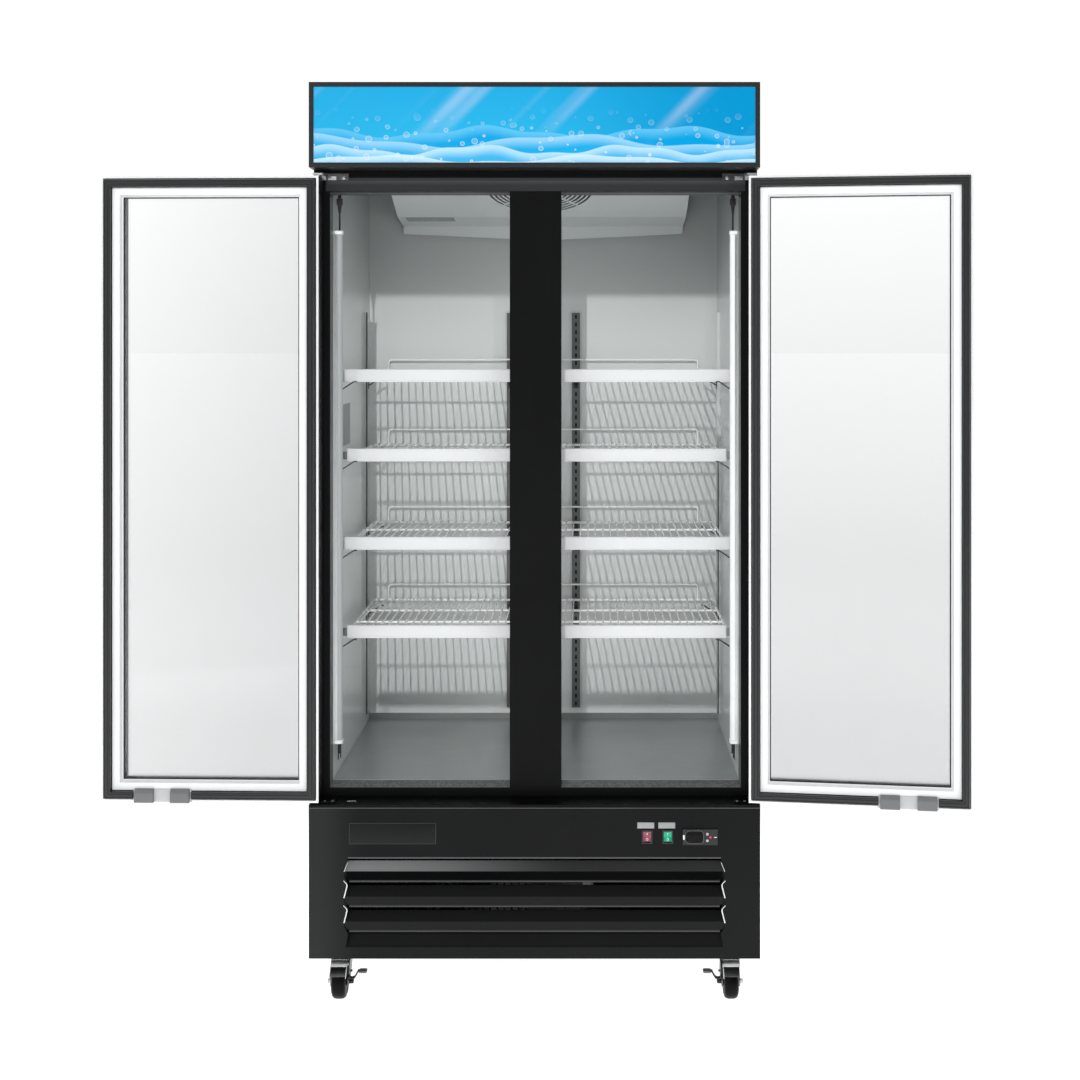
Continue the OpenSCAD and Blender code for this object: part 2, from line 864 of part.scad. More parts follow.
function window_right() = concat(window_side(1),
    [[louvre_hw - lip_in, crease_z(louvre_n - 1) - under_h - louvre_gap / 2],
        [louvre_hw - lip_in / 2, louvre_z0]]);
function window_left() = [for (p = window_right()) [-p[0], p[1]]];
function backwards(v) = [for (i = [len(v) - 1 : -1 : 0]) v[i]];

module louvre_window(y0, y1) {
    xz(y0, y1, concat(window_right(), backwards(window_left())));
}

module louvre_profile(i) {
    t = louvre_t;
    c = crease_z(i);
    y = y_front;
    polygon([[y + louvre_d, c + slant_h], [y, c], [y + 3, c - under_h], [y + 9, c - under_h],
        [y + 9, c - under_h + t], [y + 3 + t, c - under_h + t], [y + t, c - t / 2],
        [y + louvre_d + t, c + slant_h]]);
}

module base_panel() {
    t = sheet_t;
    color([0.08, 0.08, 0.085]) {
        difference() {
            box([-hw, y_front, caster_h], [hw, panel_back, z_base]);
            box([-hw + t, y_front + t, caster_h - 1], [hw - t, panel_back + 1, z_base - t]);
            louvre_window(y_front - 1, y_front + t + 1);
            for (x = switch_x)
                box([x - switch_w / 2 + 1, y_front - 1, control_z - switch_h / 2 + 1],
                    [x + switch_w / 2 - 1, y_front + t + 1, control_z + switch_h / 2 - 1]);
            box([controller_x - controller_w / 2 + 3, y_front - 1, control_z - controller_h / 2 + 3],
                [controller_x + controller_w / 2 - 3, y_front + t + 1,
                    control_z + controller_h / 2 - 3]);
        }
        for (i = [0 : louvre_n - 1])
            translate([-louvre_hw - 1, 0, 0])
                rotate([90, 0, 90])
                    linear_extrude(2 * louvre_hw + 2)
                        louvre_profile(i);
        both()
            box([louvre_hw, y_front + t / 2, louvre_z0 - 4],
                [louvre_hw + 1.5, y_front + louvre_d + t, louvre_z1 + 4]);
    }
}

module bolt_holes(z0, z1, r) {
    for (x = [-caster_x, caster_x])
        for (y = caster_y)
            for (a = [-bolt_in, bolt_in])
                for (b = [-bolt_in, bolt_in])
                    translate([x + a, y + b, z0])
                        cylinder(r = r, h = z1 - z0);
}

module base_pan() {
    color([0.4, 0.41, 0.42])
        difference() {
            box([-hw + sheet_t, y_front + sheet_t, caster_h], [hw - sheet_t, y_back, z_pan]);
            bolt_holes(caster_h - 1, z_pan + 1, bolt_r + fit / 2);
        }
}

// Rear service panel between the side sheets, with vent slots and the cord gland
rear_inset = 3;
gland_x = -380;
gland_z = z_pan + 60;
gland_r = 4.5;
gland_neck = 9.8;
vent_n = 9;

module rear_panel() {
    y1 = y_back - rear_inset;
    color([0.1, 0.1, 0.105])
        difference() {
            box([-hw + sheet_t, y1 - sheet_t, z_pan], [hw - sheet_t, y1, z_deck - sheet_t]);
            for (s = [-1, 1])
                for (i = [0 : vent_n - 1])
                    translate([s * 150 - 110, y1 - sheet_t - 1, z_pan + 90 + i * 20])
                        cube([220, sheet_t + 2, 9]);
            rod_y(y1 - sheet_t - 1, y1 + 1, gland_x, gland_z, gland_neck + fit / 2);
        }
}

module cord_gland() {
    y1 = y_back - rear_inset;
    color([0.05, 0.05, 0.05])
        difference() {
            union() {
                rod_y(y1 - sheet_t - 12, y1, gland_x, gland_z, gland_neck);
                rod_y(y1, y_back, gland_x, gland_z, gland_neck + 4);
            }
            rod_y(y1 - sheet_t - 13, y_back + 1, gland_x, gland_z, gland_r);
        }
}

// Machine compartment
comp_x = 210;
comp_in = 420;
comp_y = y_front + comp_in;
comp_r = 88;
comp_z = z_pan + 10;
port_top = comp_z + 164;
discharge_at = [-30, -40];
suction_at = [30, 30];

module compressor() {
    color([0.06, 0.06, 0.065])
        translate([comp_x, comp_y, 0]) {
            difference() {
                box([-105, -80, comp_z], [105, 80, comp_z + 4]);
                for (x = [-88, 88])
                    for (y = [-62, 62])
                        translate([x, y, comp_z - 1])
                            cylinder(r = 6, h = 6);
            }
            translate([0, 0, comp_z + 4])
                rotate_extrude()
                    polygon([[0, 0], [comp_r - 14, 0], [comp_r, 14], [comp_r, 62], [comp_r + 4, 64],
                        [comp_r + 4, 70], [comp_r, 72], [comp_r - 3, 112], [comp_r - 16, 138],
                        [comp_r - 42, 152], [0, 158]]);
            for (p = [discharge_at, suction_at])
                translate([p[0], p[1], port_top - 24])
                    cylinder(r = 6, h = 24);
            box([-comp_r - 26, -26, comp_z + 60], [-comp_r + 8, 26, comp_z + 110]);
            for (x = [-88, 88])
                for (y = [-62, 62])
                    translate([x, y, z_pan])
                        rotate_extrude()
                            polygon([[0, 0], [13, 0], [13, 10], [0, 10]]);
        }
}

pan_x = [bolt_in - caster_x + 12, -130];
pan_y = [y_back - 300, y_back - 60];

module evaporation_pan() {
    color([0.2, 0.2, 0.21])
        difference() {
            box([pan_x[0], pan_y[0], z_pan], [pan_x[1], pan_y[1], z_pan + 45]);
            box([pan_x[0] + 2, pan_y[0] + 2, z_pan + 2], [pan_x[1] - 2, pan_y[1] - 2, z_pan + 46]);
        }
}

// Copper lines: discharge, liquid with drier, suction
suction_x = line_x + 12;
liquid_x = line_x + 4;
lines_y = line_y + 9;
line_top = line_z + 9;
port_z = port_top + fit;
out_x = comp_x + discharge_at[0];
out_y = comp_y + discharge_at[1];
in_x = comp_x + suction_at[0];
in_y = comp_y + suction_at[1];

module refrigerant_lines() {
    suction_r = 4;
    liquid_r = 2.5;
    drier_z = z_pan + 200;
    color([0.72, 0.45, 0.3]) {
        tube(rounded([[out_x, out_y, port_z], [out_x, out_y, tube_top], [out_x, tube_y, tube_top],
            [tube_end, tube_y, tube_top]], 12), liquid_r + 0.5, 8, [1, 0, 0.1]);
        tube(rounded([[suction_x, y_in - 8, line_top], [suction_x, lines_y, line_top],
            [suction_x, lines_y, z_deck - 60], [suction_x, lines_y - 40, z_deck - 60],
            [in_x, lines_y - 40, z_deck - 60], [in_x, in_y, z_deck - 60],
            [in_x, in_y, port_z]], 8), suction_r, 8, [1, 0.1, 0]);
        tube(rounded([[liquid_x, y_in - 8, line_top], [liquid_x, lines_y, line_top],
            [liquid_x, lines_y, drier_z + 60]], 6), liquid_r - 1, 8, [1, 0.1, 0]);
        translate([liquid_x, lines_y, drier_z - 30])
            cylinder(r = 9, h = 90);
    }
}

// Hinges: a plate screwed to the top rail with an arm over the door, and a plate on the base
arm_t = 4;
arm_gap = 3.5;
arm_hw = 15;
plate_proud = 3;
plate_l = 60;
hinge_screws = [10, 42];
washer_h = 0.6;

module hinge_plates() {
    door_top = door_z0 + door_h;
    z_arm = door_top + arm_gap;
    low_t = door_low_gap - washer_h - fit;
    color([0.8, 0.8, 0.82])
        both() {
            difference() {
                box([pivot_x - 2 - plate_l, y_frame - plate_proud, door_top - 3.5],
                    [pivot_x - 2, y_frame, z_arm + arm_t + 4]);
                for (x = hinge_screws)
                    rod_y(y_frame - plate_proud - 1, y_frame + 1, pivot_x - 2 - plate_l + x,
                        z_arm, 3);
            }
            box([pivot_x - arm_hw, pivot_y - 12, z_arm],
                [pivot_x + arm_hw - 4, y_frame - plate_proud + e, z_arm + arm_t]);
            translate([pivot_x, pivot_y, door_top - hinge_pin_l])
                cylinder(r = hinge_pin_r, h = z_arm + 1 - door_top + hinge_pin_l);
            box([pivot_x - 40, pivot_y - 14, z_base], [hw, y_frame, z_base + low_t]);
            translate([pivot_x, pivot_y, z_base]) {
                cylinder(r = hinge_pin_r, h = door_low_gap + hinge_pin_l);
                cylinder(r = hinge_pin_r + 3, h = low_t + washer_h);
            }
        }
}

// Controls
module control_housings() {
    color([0.06, 0.06, 0.065]) {
        for (x = switch_x)
            translate([x, y_front, control_z]) {
                difference() {
                    union() {
                        box([-switch_w / 2, -bezel_out, -switch_h / 2], [switch_w / 2, 0, switch_h / 2]);
                        box([-switch_w / 2 + 1, 0, -switch_h / 2 + 1],
                            [switch_w / 2 - 1, bezel_back, switch_h / 2 - 1]);
                    }
                    box([-switch_w / 2 + bezel_rim, -bezel_out - 1, -switch_h / 2 + bezel_rim],
                        [switch_w / 2 - bezel_rim, bezel_back - 3, switch_h / 2 - bezel_rim]);
                }
                rod_x(-switch_w / 2 + 1, switch_w / 2 - 1, rocker_y - y_front, 0, 1.5);
            }
        translate([controller_x, y_front, control_z])
            difference() {
                union() {
                    box([-controller_w / 2, -controller_out, -controller_h / 2],
                        [controller_w / 2, 0, controller_h / 2]);
                    box([-controller_w / 2 + 3, 0, -controller_h / 2 + 3],
                        [controller_w / 2 - 3, controller_body, controller_h / 2 - 3]);
                }
                box([-controller_w / 2 + 5, -controller_out - 1, -controller_h / 2 + 3],
                    [8, -controller_out + 0.8, controller_h / 2 - 3]);
                for (s = [-1, 1])
                    rod_y(-controller_out - 1, 0, button_dx, s * button_dz, button_r + button_clear);
            }
    }
}

module rocker(x) {
    w = switch_w / 2 - bezel_rim - rocker_gap;
    translate([x, rocker_y, control_z])
        rotate([-rocker_tilt, 0, 0])
            difference() {
                yz(-w, w, [[-9, 10.4], [-7.5, 0], [-9, -10.4], [-2, -10.4], [4, -5], [4, 5],
                    [-2, 10.4]]);
                rod_x(-w - 1, w + 1, 0, 0, 1.55);
            }
}

module button(s) {
    translate([controller_x + button_dx, 0, control_z + s * button_dz])
        rod_y(y_front - controller_out - button_out, y_front - 0.9, 0, 0, button_r);
}

// Casters. The fork is drawn for a wheel in front of the swivel axis, the rear ones mirrored.
module king_stack() {
    translate([0, 0, z_cup])
        cylinder(r = 25, h = cup_h);
    translate([0, 0, z_crown - crown_t - 4])
        cylinder(r = king_r, h = z_cup - z_crown + crown_t + 4.5);
    translate([0, 0, z_crown - crown_t - fit - 5])
        cylinder(r = 10, h = 5);
}

module caster_plate() {
    difference() {
        translate([-38, -38, caster_h - plate_t])
            cube([76, 76, plate_t]);
        for (a = [-bolt_in, bolt_in])
            for (b = [-bolt_in, bolt_in])
                translate([a, b, caster_h - plate_t - 1])
                    cylinder(r = bolt_r + fit / 2, h = plate_t + 2);
    }
}

module fork_leg() {
    rotate([90, 0, 90])
        linear_extrude(leg_t)
            polygon([[-22, z_crown - crown_t], [22, z_crown - crown_t], [18, z_crown - 26],
                [-trail + 13, wheel_r - 9], [-trail - 9, wheel_r - 9], [-trail - 14, wheel_r + 6],
                [-24, z_crown - 14]]);
}

module fork_body() {
    translate([-leg_in - leg_t, -24, z_crown - crown_t])
        cube([2 * (leg_in + leg_t), 48, crown_t]);
    for (x = [-leg_in - leg_t, leg_in])
        translate([x, 0, 0])
            fork_leg();
    rod_x(-leg_in - leg_t - 6, leg_in + leg_t + 6, -trail, wheel_r, axle_r);
}

// Curved shoe between the legs, over the wheel's front quarter
module fork_shoe() {
    r0 = wheel_r + shoe_gap;
    translate([-leg_in, -trail, wheel_r])
        rotate([90, 0, 90])
            linear_extrude(2 * leg_in)
                intersection() {
                    difference() {
                        circle(r = r0 + 2);
                        circle(r = r0);
                    }
                    polygon([[0, 0], [-70, 46], [-70, 90], [10, 90]]);
                }
}

module front_fork(x) {
    translate([x, caster_y[0], 0])
        difference() {
            union() {
                fork_body();
                fork_shoe();
                translate([sign(-x) * (leg_in + leg_t / 2), 0, 0])
                    pedal_post(sign(-x));
            }
            translate([0, 0, z_crown - crown_t - 1])
                cylinder(r = king_r + caster_clear, h = crown_t + 2);
        }
}

module wheel(x, y) {
    w = wheel_w / 2;
    translate([x, y, wheel_r])
        rotate([0, 90, 0])
            difference() {
                rotate_extrude()
                    polygon([[axle_r + caster_clear, -w], [wheel_r - 12, -w], [wheel_r - 10, -w + 3],
                        [wheel_r - 3, -w + 3], [wheel_r, -w + 9], [wheel_r, w - 9],
                        [wheel_r - 3, w - 3], [wheel_r - 10, w - 3], [wheel_r - 12, w],
                        [axle_r + caster_clear, w]]);
            }
}

module caster_mounts() {
    color([0.75, 0.76, 0.78])
        for (x = [-caster_x, caster_x]) {
            translate([x, caster_y[0], 0]) {
                caster_plate();
                king_stack();
            }
            translate([x, caster_y[1], 0]) {
                caster_plate();
                translate([0, 0, z_cup])
                    cylinder(r = 25, h = cup_h);
                translate([0, 0, z_crown])
                    cylinder(r = 20, h = fit);
                mirror([0, 1, 0])
                    fork_body();
            }
        }
}

// Brake pedal: a bell crank on the fork's inboard leg with a tab that is trodden down
post_y = -trail + 2;
post_z = wheel_r + 22;
post_r = 2.5;
pedal_angle = 14;

module pedal_post(s) {
    rod_x(min(0, s * 8), max(0, s * 8), post_y, post_z, post_r);
}

module brake_pedal(s) {
    x0 = leg_in + leg_t + fit;
    translate([s * -caster_x, caster_y[0], 0])
        mirror([s < 0 ? 1 : 0, 0, 0])
            difference() {
                union() {
                    yz(x0, x0 + 3, [[post_y - 18, post_z - 6], [post_y + 7, post_z - 7],
                        [post_y + 7, post_z + 7], [post_y - 18, post_z + 1]]);
                    yz(x0, x0 + 28, [[post_y - 30, post_z - 4], [post_y - 12, post_z - 4],
                        [post_y - 12, post_z - 1], [post_y - 30, post_z - 1]]);
                }
                rod_x(x0 - 1, x0 + 40, post_y, post_z, post_r + caster_clear);
            }
}

module screws() {
    color([0.7, 0.7, 0.72]) {
        for (x = [-caster_x, caster_x])
            for (y = caster_y)
                for (a = [-bolt_in, bolt_in])
                    for (b = [-bolt_in, bolt_in])
                        translate([x + a, y + b, 0]) {
                            translate([0, 0, caster_h - plate_t - 4])
                                cylinder(r = 6, h = 4, $fn = 6);
                            translate([0, 0, caster_h - plate_t - 1])
                                cylinder(r = bolt_r, h = plate_t + pan_t + 2);
                            translate([0, 0, z_pan])
                                cylinder(r = 7, h = 5, $fn = 6);
                        }
        both() {
            for (z = [z_pan + 20, z_deck - 20])
                for (x = [hw - 20, hw / 2 - 20])
                    rod_y(y_back - rear_inset, y_back - rear_inset + 2, x, z, 5);
            for (x = hinge_screws)
                rod_y(y_frame - plate_proud - 1.6, y_frame, pivot_x - 2 - plate_l + x,
                    door_z0 + door_h + arm_gap, 2.7);
        }
    }
}

// Doors, drawn with the hinge axis at the origin, the free edge towards +X and the
// gasket towards +Y. side is 1 for the right door and -1 for the left one.
module hang(side, angle) {
    translate([side * pivot_x, pivot_y, 0])
        rotate(side * angle)
            mirror([side > 0 ? 1 : 0, 0, 0])
                children();
}

// A rectangular ring of the door, from one inset to another, between two depths
module door_ring(a, b, v0, v1) {
    translate([0, v1 - door_t / 2, 0])
        rotate([90, 0, 0])
            linear_extrude(v1 - v0)
                difference() {
                    translate([-hinge_inset + a, door_z0 + a])
                        square([door_w - 2 * a, door_h - 2 * a]);
                    translate([-hinge_inset + b, door_z0 + b])
                        square([door_w - 2 * b, door_h - 2 * b]);
                }
}

free_x = door_w - hinge_inset;
groove_wall = 2;
groove_x = free_x - glass_in + fit + groove_wall;
groove_z = door_z0 + groove_up;
bumper_x1 = free_x - bumper_in;

module finger_groove() {
    translate([groove_x, -door_t / 2 - 1, groove_z])
        cube([groove_w, groove_d + 1, groove_l]);
}

module door_frame() {
    block_l = hinge_pin_l + 6;
    glass_back = glass_face - 22;
    difference() {
        union() {
            door_ring(0, border, 0, door_face_t);
            door_ring(0, rim_w, 0, door_t);
            door_ring(rim_w - e, rim_w + gasket_w, seat_face - seat_t, seat_face);
            for (z = [door_z0, door_z0 + door_h - block_l])
                translate([-hinge_inset + 1, -door_t / 2 + 1, z + (z > door_z0 ? -e : e)])
                    cube([rim_w + 8, seat_face - 2, block_l]);
            translate([groove_x - groove_wall, -door_t / 2 + 1, groove_z - groove_wall])
                cube([groove_w + 2 * groove_wall, groove_d - 1 + groove_wall,
                    groove_l + 2 * groove_wall]);
        }
        finger_groove();
        translate([0, 0, door_z0 - 1])
            cylinder(r = hinge_pin_r + hinge_clear, h = hinge_pin_l + 3);
        translate([0, 0, door_z0 + door_h - hinge_pin_l - 2])
            cylinder(r = hinge_pin_r + hinge_clear, h = hinge_pin_l + 3);
    }
}

module door_inner_frame() {
    door_ring(rim_w + gasket_w, border, glass_face, door_t);
}

module door_glass() {
    pane = 4;
    spacer = 8;
    v0 = glass_face - 22;
    z0 = door_z0 + glass_in;
    for (v = [v0, glass_face - pane])
        translate([-hinge_inset + glass_in, v - door_t / 2, z0])
            cube([door_w - 2 * glass_in, pane, door_h - 2 * glass_in]);
    door_ring(glass_in, glass_in + spacer, v0 + pane - e, glass_face - pane + e);
}

module bumper_space(grow) {
    translate([bumper_x1 - bumper_l - grow, door_t / 2 - 8 - grow, door_z0 - 1])
        cube([bumper_l + 2 * grow, 30, pad_h + 1 + grow]);
}

module door_gasket() {
    bulb = 3;
    difference() {
        union() {
            door_ring(rim_w, rim_w + gasket_w, seat_face, door_t + gasket_t - bulb);
            door_ring(rim_w + bulb, rim_w + gasket_w - bulb, seat_face, door_t + gasket_t);
        }
        bumper_space(fit);
    }
}

module door_bumper() {
    y0 = door_t / 2;
    translate([bumper_x1 - bumper_l, 0, 0]) {
        translate([0, y0 - 8, door_z0 + rim_w])
            cube([bumper_l, 8, 14]);
        translate([0, y0, door_z0 + fit])
            cube([bumper_l, 3, pad_h - 2]);
        for (x = [4, bumper_l - pad_l - 4])
            yz(x, x + pad_l, [[y0 + 3 - e, door_z0 + fit], [y0 + gasket_t, door_z0 + fit],
                [y0 + gasket_t, door_z0 + pad_h - 9], [y0 + 5, door_z0 + pad_h],
                [y0 + 3 - e, door_z0 + pad_h]]);
    }
}

outer_shell();
insulation();
liner();
floor_panel();
front_frame();
mullion();
breaker_strip();
evaporator_cover();
finned_coils();
fan_motors();
pilasters();
shelf_clips();
led_bars();
led_cables();
header_box();
sign_panel();
header_lamps();
base_panel();
base_pan();
rear_panel();
cord_gland();
compressor();
evaporation_pan();
refrigerant_lines();
hinge_plates();
control_housings();
caster_mounts();
screws();
evaporator_fan();
condenser_fan();
color([0.75, 0.1, 0.12]) rocker(switch_x[0]);  // power_rocker
color([0.05, 0.5, 0.25]) rocker(switch_x[1]);  // light_rocker
color([0.5, 0.5, 0.52]) button(1);  // up_button
color([0.5, 0.5, 0.52]) button(-1);  // down_button
color([0.8, 0.8, 0.82]) front_fork(-caster_x);  // front_left_fork
color([0.8, 0.8, 0.82]) front_fork(caster_x);  // front_right_fork
color([0.05, 0.05, 0.05]) wheel(-caster_x, caster_y[0] - trail);  // front_left_wheel
color([0.05, 0.05, 0.05]) wheel(caster_x, caster_y[0] - trail);  // front_right_wheel
color([0.05, 0.05, 0.05]) wheel(-caster_x, caster_y[1] + trail);  // rear_left_wheel
color([0.05, 0.05, 0.05]) wheel(caster_x, caster_y[1] + trail);  // rear_right_wheel
color([0.7, 0.7, 0.72]) brake_pedal(1);  // left_brake_pedal
color([0.7, 0.7, 0.72]) brake_pedal(-1);  // right_brake_pedal
color([0.75, 0.76, 0.78]) hang(-1, left_open) door_frame();  // left_door_frame
color([0.92, 0.93, 0.93]) hang(-1, left_open) door_inner_frame();  // left_inner_frame
color([0.8, 0.9, 0.9, 0.4]) hang(-1, left_open) door_glass();  // left_glass
color([0.05, 0.05, 0.05]) hang(-1, left_open) door_gasket();  // left_gasket
color([0.45, 0.46, 0.47]) hang(-1, left_open) door_bumper();  // left_bumper
color([0.75, 0.76, 0.78]) hang(1, right_open) door_frame();  // right_door_frame
color([0.92, 0.93, 0.93]) hang(1, right_open) door_inner_frame();  // right_inner_frame
color([0.8, 0.9, 0.9, 0.4]) hang(1, right_open) door_glass();  // right_glass
color([0.05, 0.05, 0.05]) hang(1, right_open) door_gasket();  // right_gasket
color([0.45, 0.46, 0.47]) hang(1, right_open) door_bumper();  // right_bumper
mirror([1, 0, 0]) shelf(0);  // shelf_left_1
mirror([1, 0, 0]) shelf(1);  // shelf_left_2
mirror([1, 0, 0]) shelf(2);  // shelf_left_3
mirror([1, 0, 0]) shelf(3);  // shelf_left_4
shelf(0);  // shelf_right_1
shelf(1);  // shelf_right_2
shelf(2);  // shelf_right_3
shelf(3);  // shelf_right_4
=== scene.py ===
# %% [markdown]
# # A two-door display refrigerator
# This lesson dresses an imported CAD model of an upright merchandiser. The CAD gives every sheet, door and
# shelf its place and its size in metres. Blender adds what the eye reads as real: rounded wires, a ribbed
# gasket, thin glass, powder coat, brushed metal and light. We start by loading the frame.

# %% Load the imported model
import bmesh
import bpy
import json
import math
from mathutils import Matrix, Vector


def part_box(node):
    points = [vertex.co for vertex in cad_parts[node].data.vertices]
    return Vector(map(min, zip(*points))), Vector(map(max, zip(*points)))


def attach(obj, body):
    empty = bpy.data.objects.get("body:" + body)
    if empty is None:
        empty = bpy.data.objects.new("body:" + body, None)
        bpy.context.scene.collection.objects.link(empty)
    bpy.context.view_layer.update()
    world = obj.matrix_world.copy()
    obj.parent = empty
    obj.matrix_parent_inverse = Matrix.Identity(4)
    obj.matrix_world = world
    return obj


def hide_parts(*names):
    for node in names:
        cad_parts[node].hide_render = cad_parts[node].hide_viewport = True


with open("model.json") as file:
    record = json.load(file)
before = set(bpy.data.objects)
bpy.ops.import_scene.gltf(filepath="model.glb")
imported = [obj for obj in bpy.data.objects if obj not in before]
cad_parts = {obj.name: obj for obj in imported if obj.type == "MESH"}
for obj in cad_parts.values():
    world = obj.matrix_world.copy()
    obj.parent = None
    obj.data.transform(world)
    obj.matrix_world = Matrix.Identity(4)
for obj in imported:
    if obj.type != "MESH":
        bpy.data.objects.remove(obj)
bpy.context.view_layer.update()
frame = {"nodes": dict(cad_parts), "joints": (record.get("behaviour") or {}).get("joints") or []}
scene = bpy.context.scene
MM = 0.001
SIDES = ((-1, "left"), (1, "right"))

# %% [markdown]
# ## The camera
# A product photograph like this one is taken from far away with a level camera, so that upright edges stay
# upright. We could tilt the camera down, but then the sides would lean together. A level camera whose lens is
# shifted keeps them parallel, as an architect's camera does.

# %% Camera
camera = bpy.data.objects.new("camera", bpy.data.cameras.new("camera"))
scene.collection.objects.link(camera)
camera.location = (0.123, -3.672, 1.465)
camera.rotation_euler = (math.radians(90), 0, 0)
camera.data.lens = 50
camera.data.sensor_width = 36
camera.data.shift_x = -0.0463
camera.data.shift_y = -0.1796
camera.data.clip_end = 100
scene.camera = camera
print("camera at", tuple(camera.location))

# %% [markdown]
# ## Short names for nodes
# Sky and materials are drawn by nodes. Made one by one in Python, each takes several lines, so a small class
# makes a node, fills its sockets and hands out its outputs. A socket takes either a plain value or another
# node's output.

# %% Node graph


class Graph:
    """Short names for making and joining the nodes of one tree."""

    def __init__(self, tree):
        self.tree = tree

    def feed(self, socket, value):
        """Join an output to a socket, or set the socket's own value. Colours are given without alpha."""
        if isinstance(value, bpy.types.NodeSocket):
            self.tree.links.new(value, socket)
        elif socket.type == "RGBA":
            socket.default_value = (*value, 1.0)
        else:
            socket.default_value = value

    def node(self, kind, *values, **settings):
        """Make a node and hand out its outputs. `settings` are its properties or named inputs, and `values`
        fill its inputs in their order."""
        node = self.tree.nodes.new("ShaderNode" + kind)
        for key, value in settings.items():
            if hasattr(node, key):
                setattr(node, key, value)
            else:
                self.feed(node.inputs[key.replace("_", " ")], value)
        for socket, value in zip(node.inputs, values):
            self.feed(socket, value)
        return node.outputs

    def math(self, operation, *values):
        return self.node("Math", *values, operation=operation)[0]

    def times(self, a, b):
        return self.math("MULTIPLY", a, b)

    def plus(self, a, b):
        return self.math("ADD", a, b)

    def minus(self, a, b):
        return self.math("SUBTRACT", a, b)

    def mix(self, factor, a, b):
        """The colour a, or b where the factor is 1."""
        node = self.tree.nodes.new("ShaderNodeMix")
        node.data_type = "RGBA"
        for socket, value in zip((node.inputs[0], node.inputs[6], node.inputs[7]), (factor, a, b)):
            self.feed(socket, value)
        return node.outputs[2]

    def span(self, value, low, high, to_low=0.0, to_high=1.0, kind="SMOOTHSTEP"):
        """Carry the range from low to high over to another range."""
        return self.node("MapRange", value, low, high, to_low, to_high, interpolation_type=kind)[0]

    def band(self, value, low, high, soft=0.0006):
        """1 between two levels, in metres, and 0 outside them."""
        rising = self.span(value, low - soft, low + soft)
        falling = self.span(value, high + soft, high - soft)
        return self.times(rising, falling)

    def place(self, stretch=(1, 1, 1)):
        """The piece's own coordinates, stretched."""
        return self.node("VectorMath", self.node("TexCoord")["Object"], stretch, operation="MULTIPLY")[0]

    def axes(self):
        """The piece's own X, Y and Z, in metres."""
        return self.node("SeparateXYZ", self.place())

    def noise(self, stretch=(1, 1, 1), **settings):
        return self.node("TexNoise", Vector=self.place(stretch), **settings)["Fac"]


print("graph helper ready")

# %% [markdown]
# ## Floor, sky and softboxes
# White goods are shot on a white floor in front of a white wall. The world is white behind the object and
# dark behind the camera, because glossy black sheet mirrors what is behind the camera, and it would turn grey
# if that were white too. Rays that come straight from the camera see white on every side, so that the object
# stands before white from all views. One soft bright patch at the upper left gives glass and metal something
# to mirror.

# %% Sky
scene.view_settings.view_transform = "Standard"
scene.view_settings.look = "None"
PAPER_WHITE = 1.05

world = bpy.data.worlds.new("studio")
scene.world = world
world.use_nodes = True
sky = Graph(world.node_tree)
direction = sky.node("TexCoord")["Generated"]
wall = sky.span(sky.node("SeparateXYZ", direction)["Y"], -0.45, 0.2, 0.09, PAPER_WHITE)
patch_side = Vector((-0.52, -0.76, 0.39)).normalized()
toward_patch = sky.node("VectorMath", direction, patch_side, operation="DOT_PRODUCT")["Value"]
patch = sky.span(toward_patch, 0.72, 0.97, 0.0, 0.75)
ray = sky.node("LightPath")
straight = sky.math("MAXIMUM", ray["Is Camera Ray"], ray["Is Transmission Ray"])
background = world.node_tree.nodes["Background"].inputs
sky.feed(background["Strength"], sky.span(straight, 0.0, 1.0, sky.plus(wall, patch), PAPER_WHITE, "LINEAR"))
sky.feed(background["Color"], (1, 1, 1))
print("sky drawn by", len(sky.tree.nodes), "nodes")

# %% [markdown]
# Large area lights stand in for softboxes. Two more are narrow strips: they draw the shelves' shadows on the
# back wall with fine edges. None of them is seen in glass or metal, where it would leave a hard white patch.

# %% Softboxes and floor


def softbox(name, place, target, width, height, power):
    """An area light that looks at its target."""
    light = bpy.data.lights.new(name, "AREA")
    light.shape = "RECTANGLE"
    light.size, light.size_y, light.energy = width, height, power
    holder = bpy.data.objects.new(name, light)
    scene.collection.objects.link(holder)
    holder.location = place
    aim = Vector(target) - Vector(place)
    holder.rotation_euler = aim.to_track_quat("-Z", "Y").to_euler()
    holder.visible_glossy = False
    holder.visible_transmission = False


softbox("key_softbox", (-3.0, -3.6, 3.1), (0, 0, 1.1), 2.2, 2.6, 17)
softbox("fill_softbox", (3.4, -3.2, 2.2), (0, 0, 1.0), 1.8, 2.4, 17)
softbox("top_softbox", (0.3, -1.2, 4.4), (0, -0.3, 0.6), 3.5, 2.0, 14)
softbox("low_card", (-1.5, -3.9, 0.5), (0, 0, 0.9), 2.4, 0.8, 9)
softbox("left_strip", (-0.46, -5.6, 3.8), (0, 0.29, 1.0), 0.02, 0.16, 132)
softbox("right_strip", (0.62, -5.6, 3.8), (0, 0.29, 1.0), 0.02, 0.16, 30)
softbox("right_low_card", (2.1, -3.7, 0.8), (-0.3, 0, 0.9), 1.6, 1.0, 20)

REACH = 300
floor_corners = [(-REACH, -REACH, 0), (REACH, -REACH, 0), (REACH, REACH, 0), (-REACH, REACH, 0)]
floor_mesh = bpy.data.meshes.new("studio_floor")
floor_mesh.from_pydata(floor_corners, [], [(0, 1, 2, 3)])
studio_floor = bpy.data.objects.new("studio_floor", floor_mesh)
scene.collection.objects.link(studio_floor)

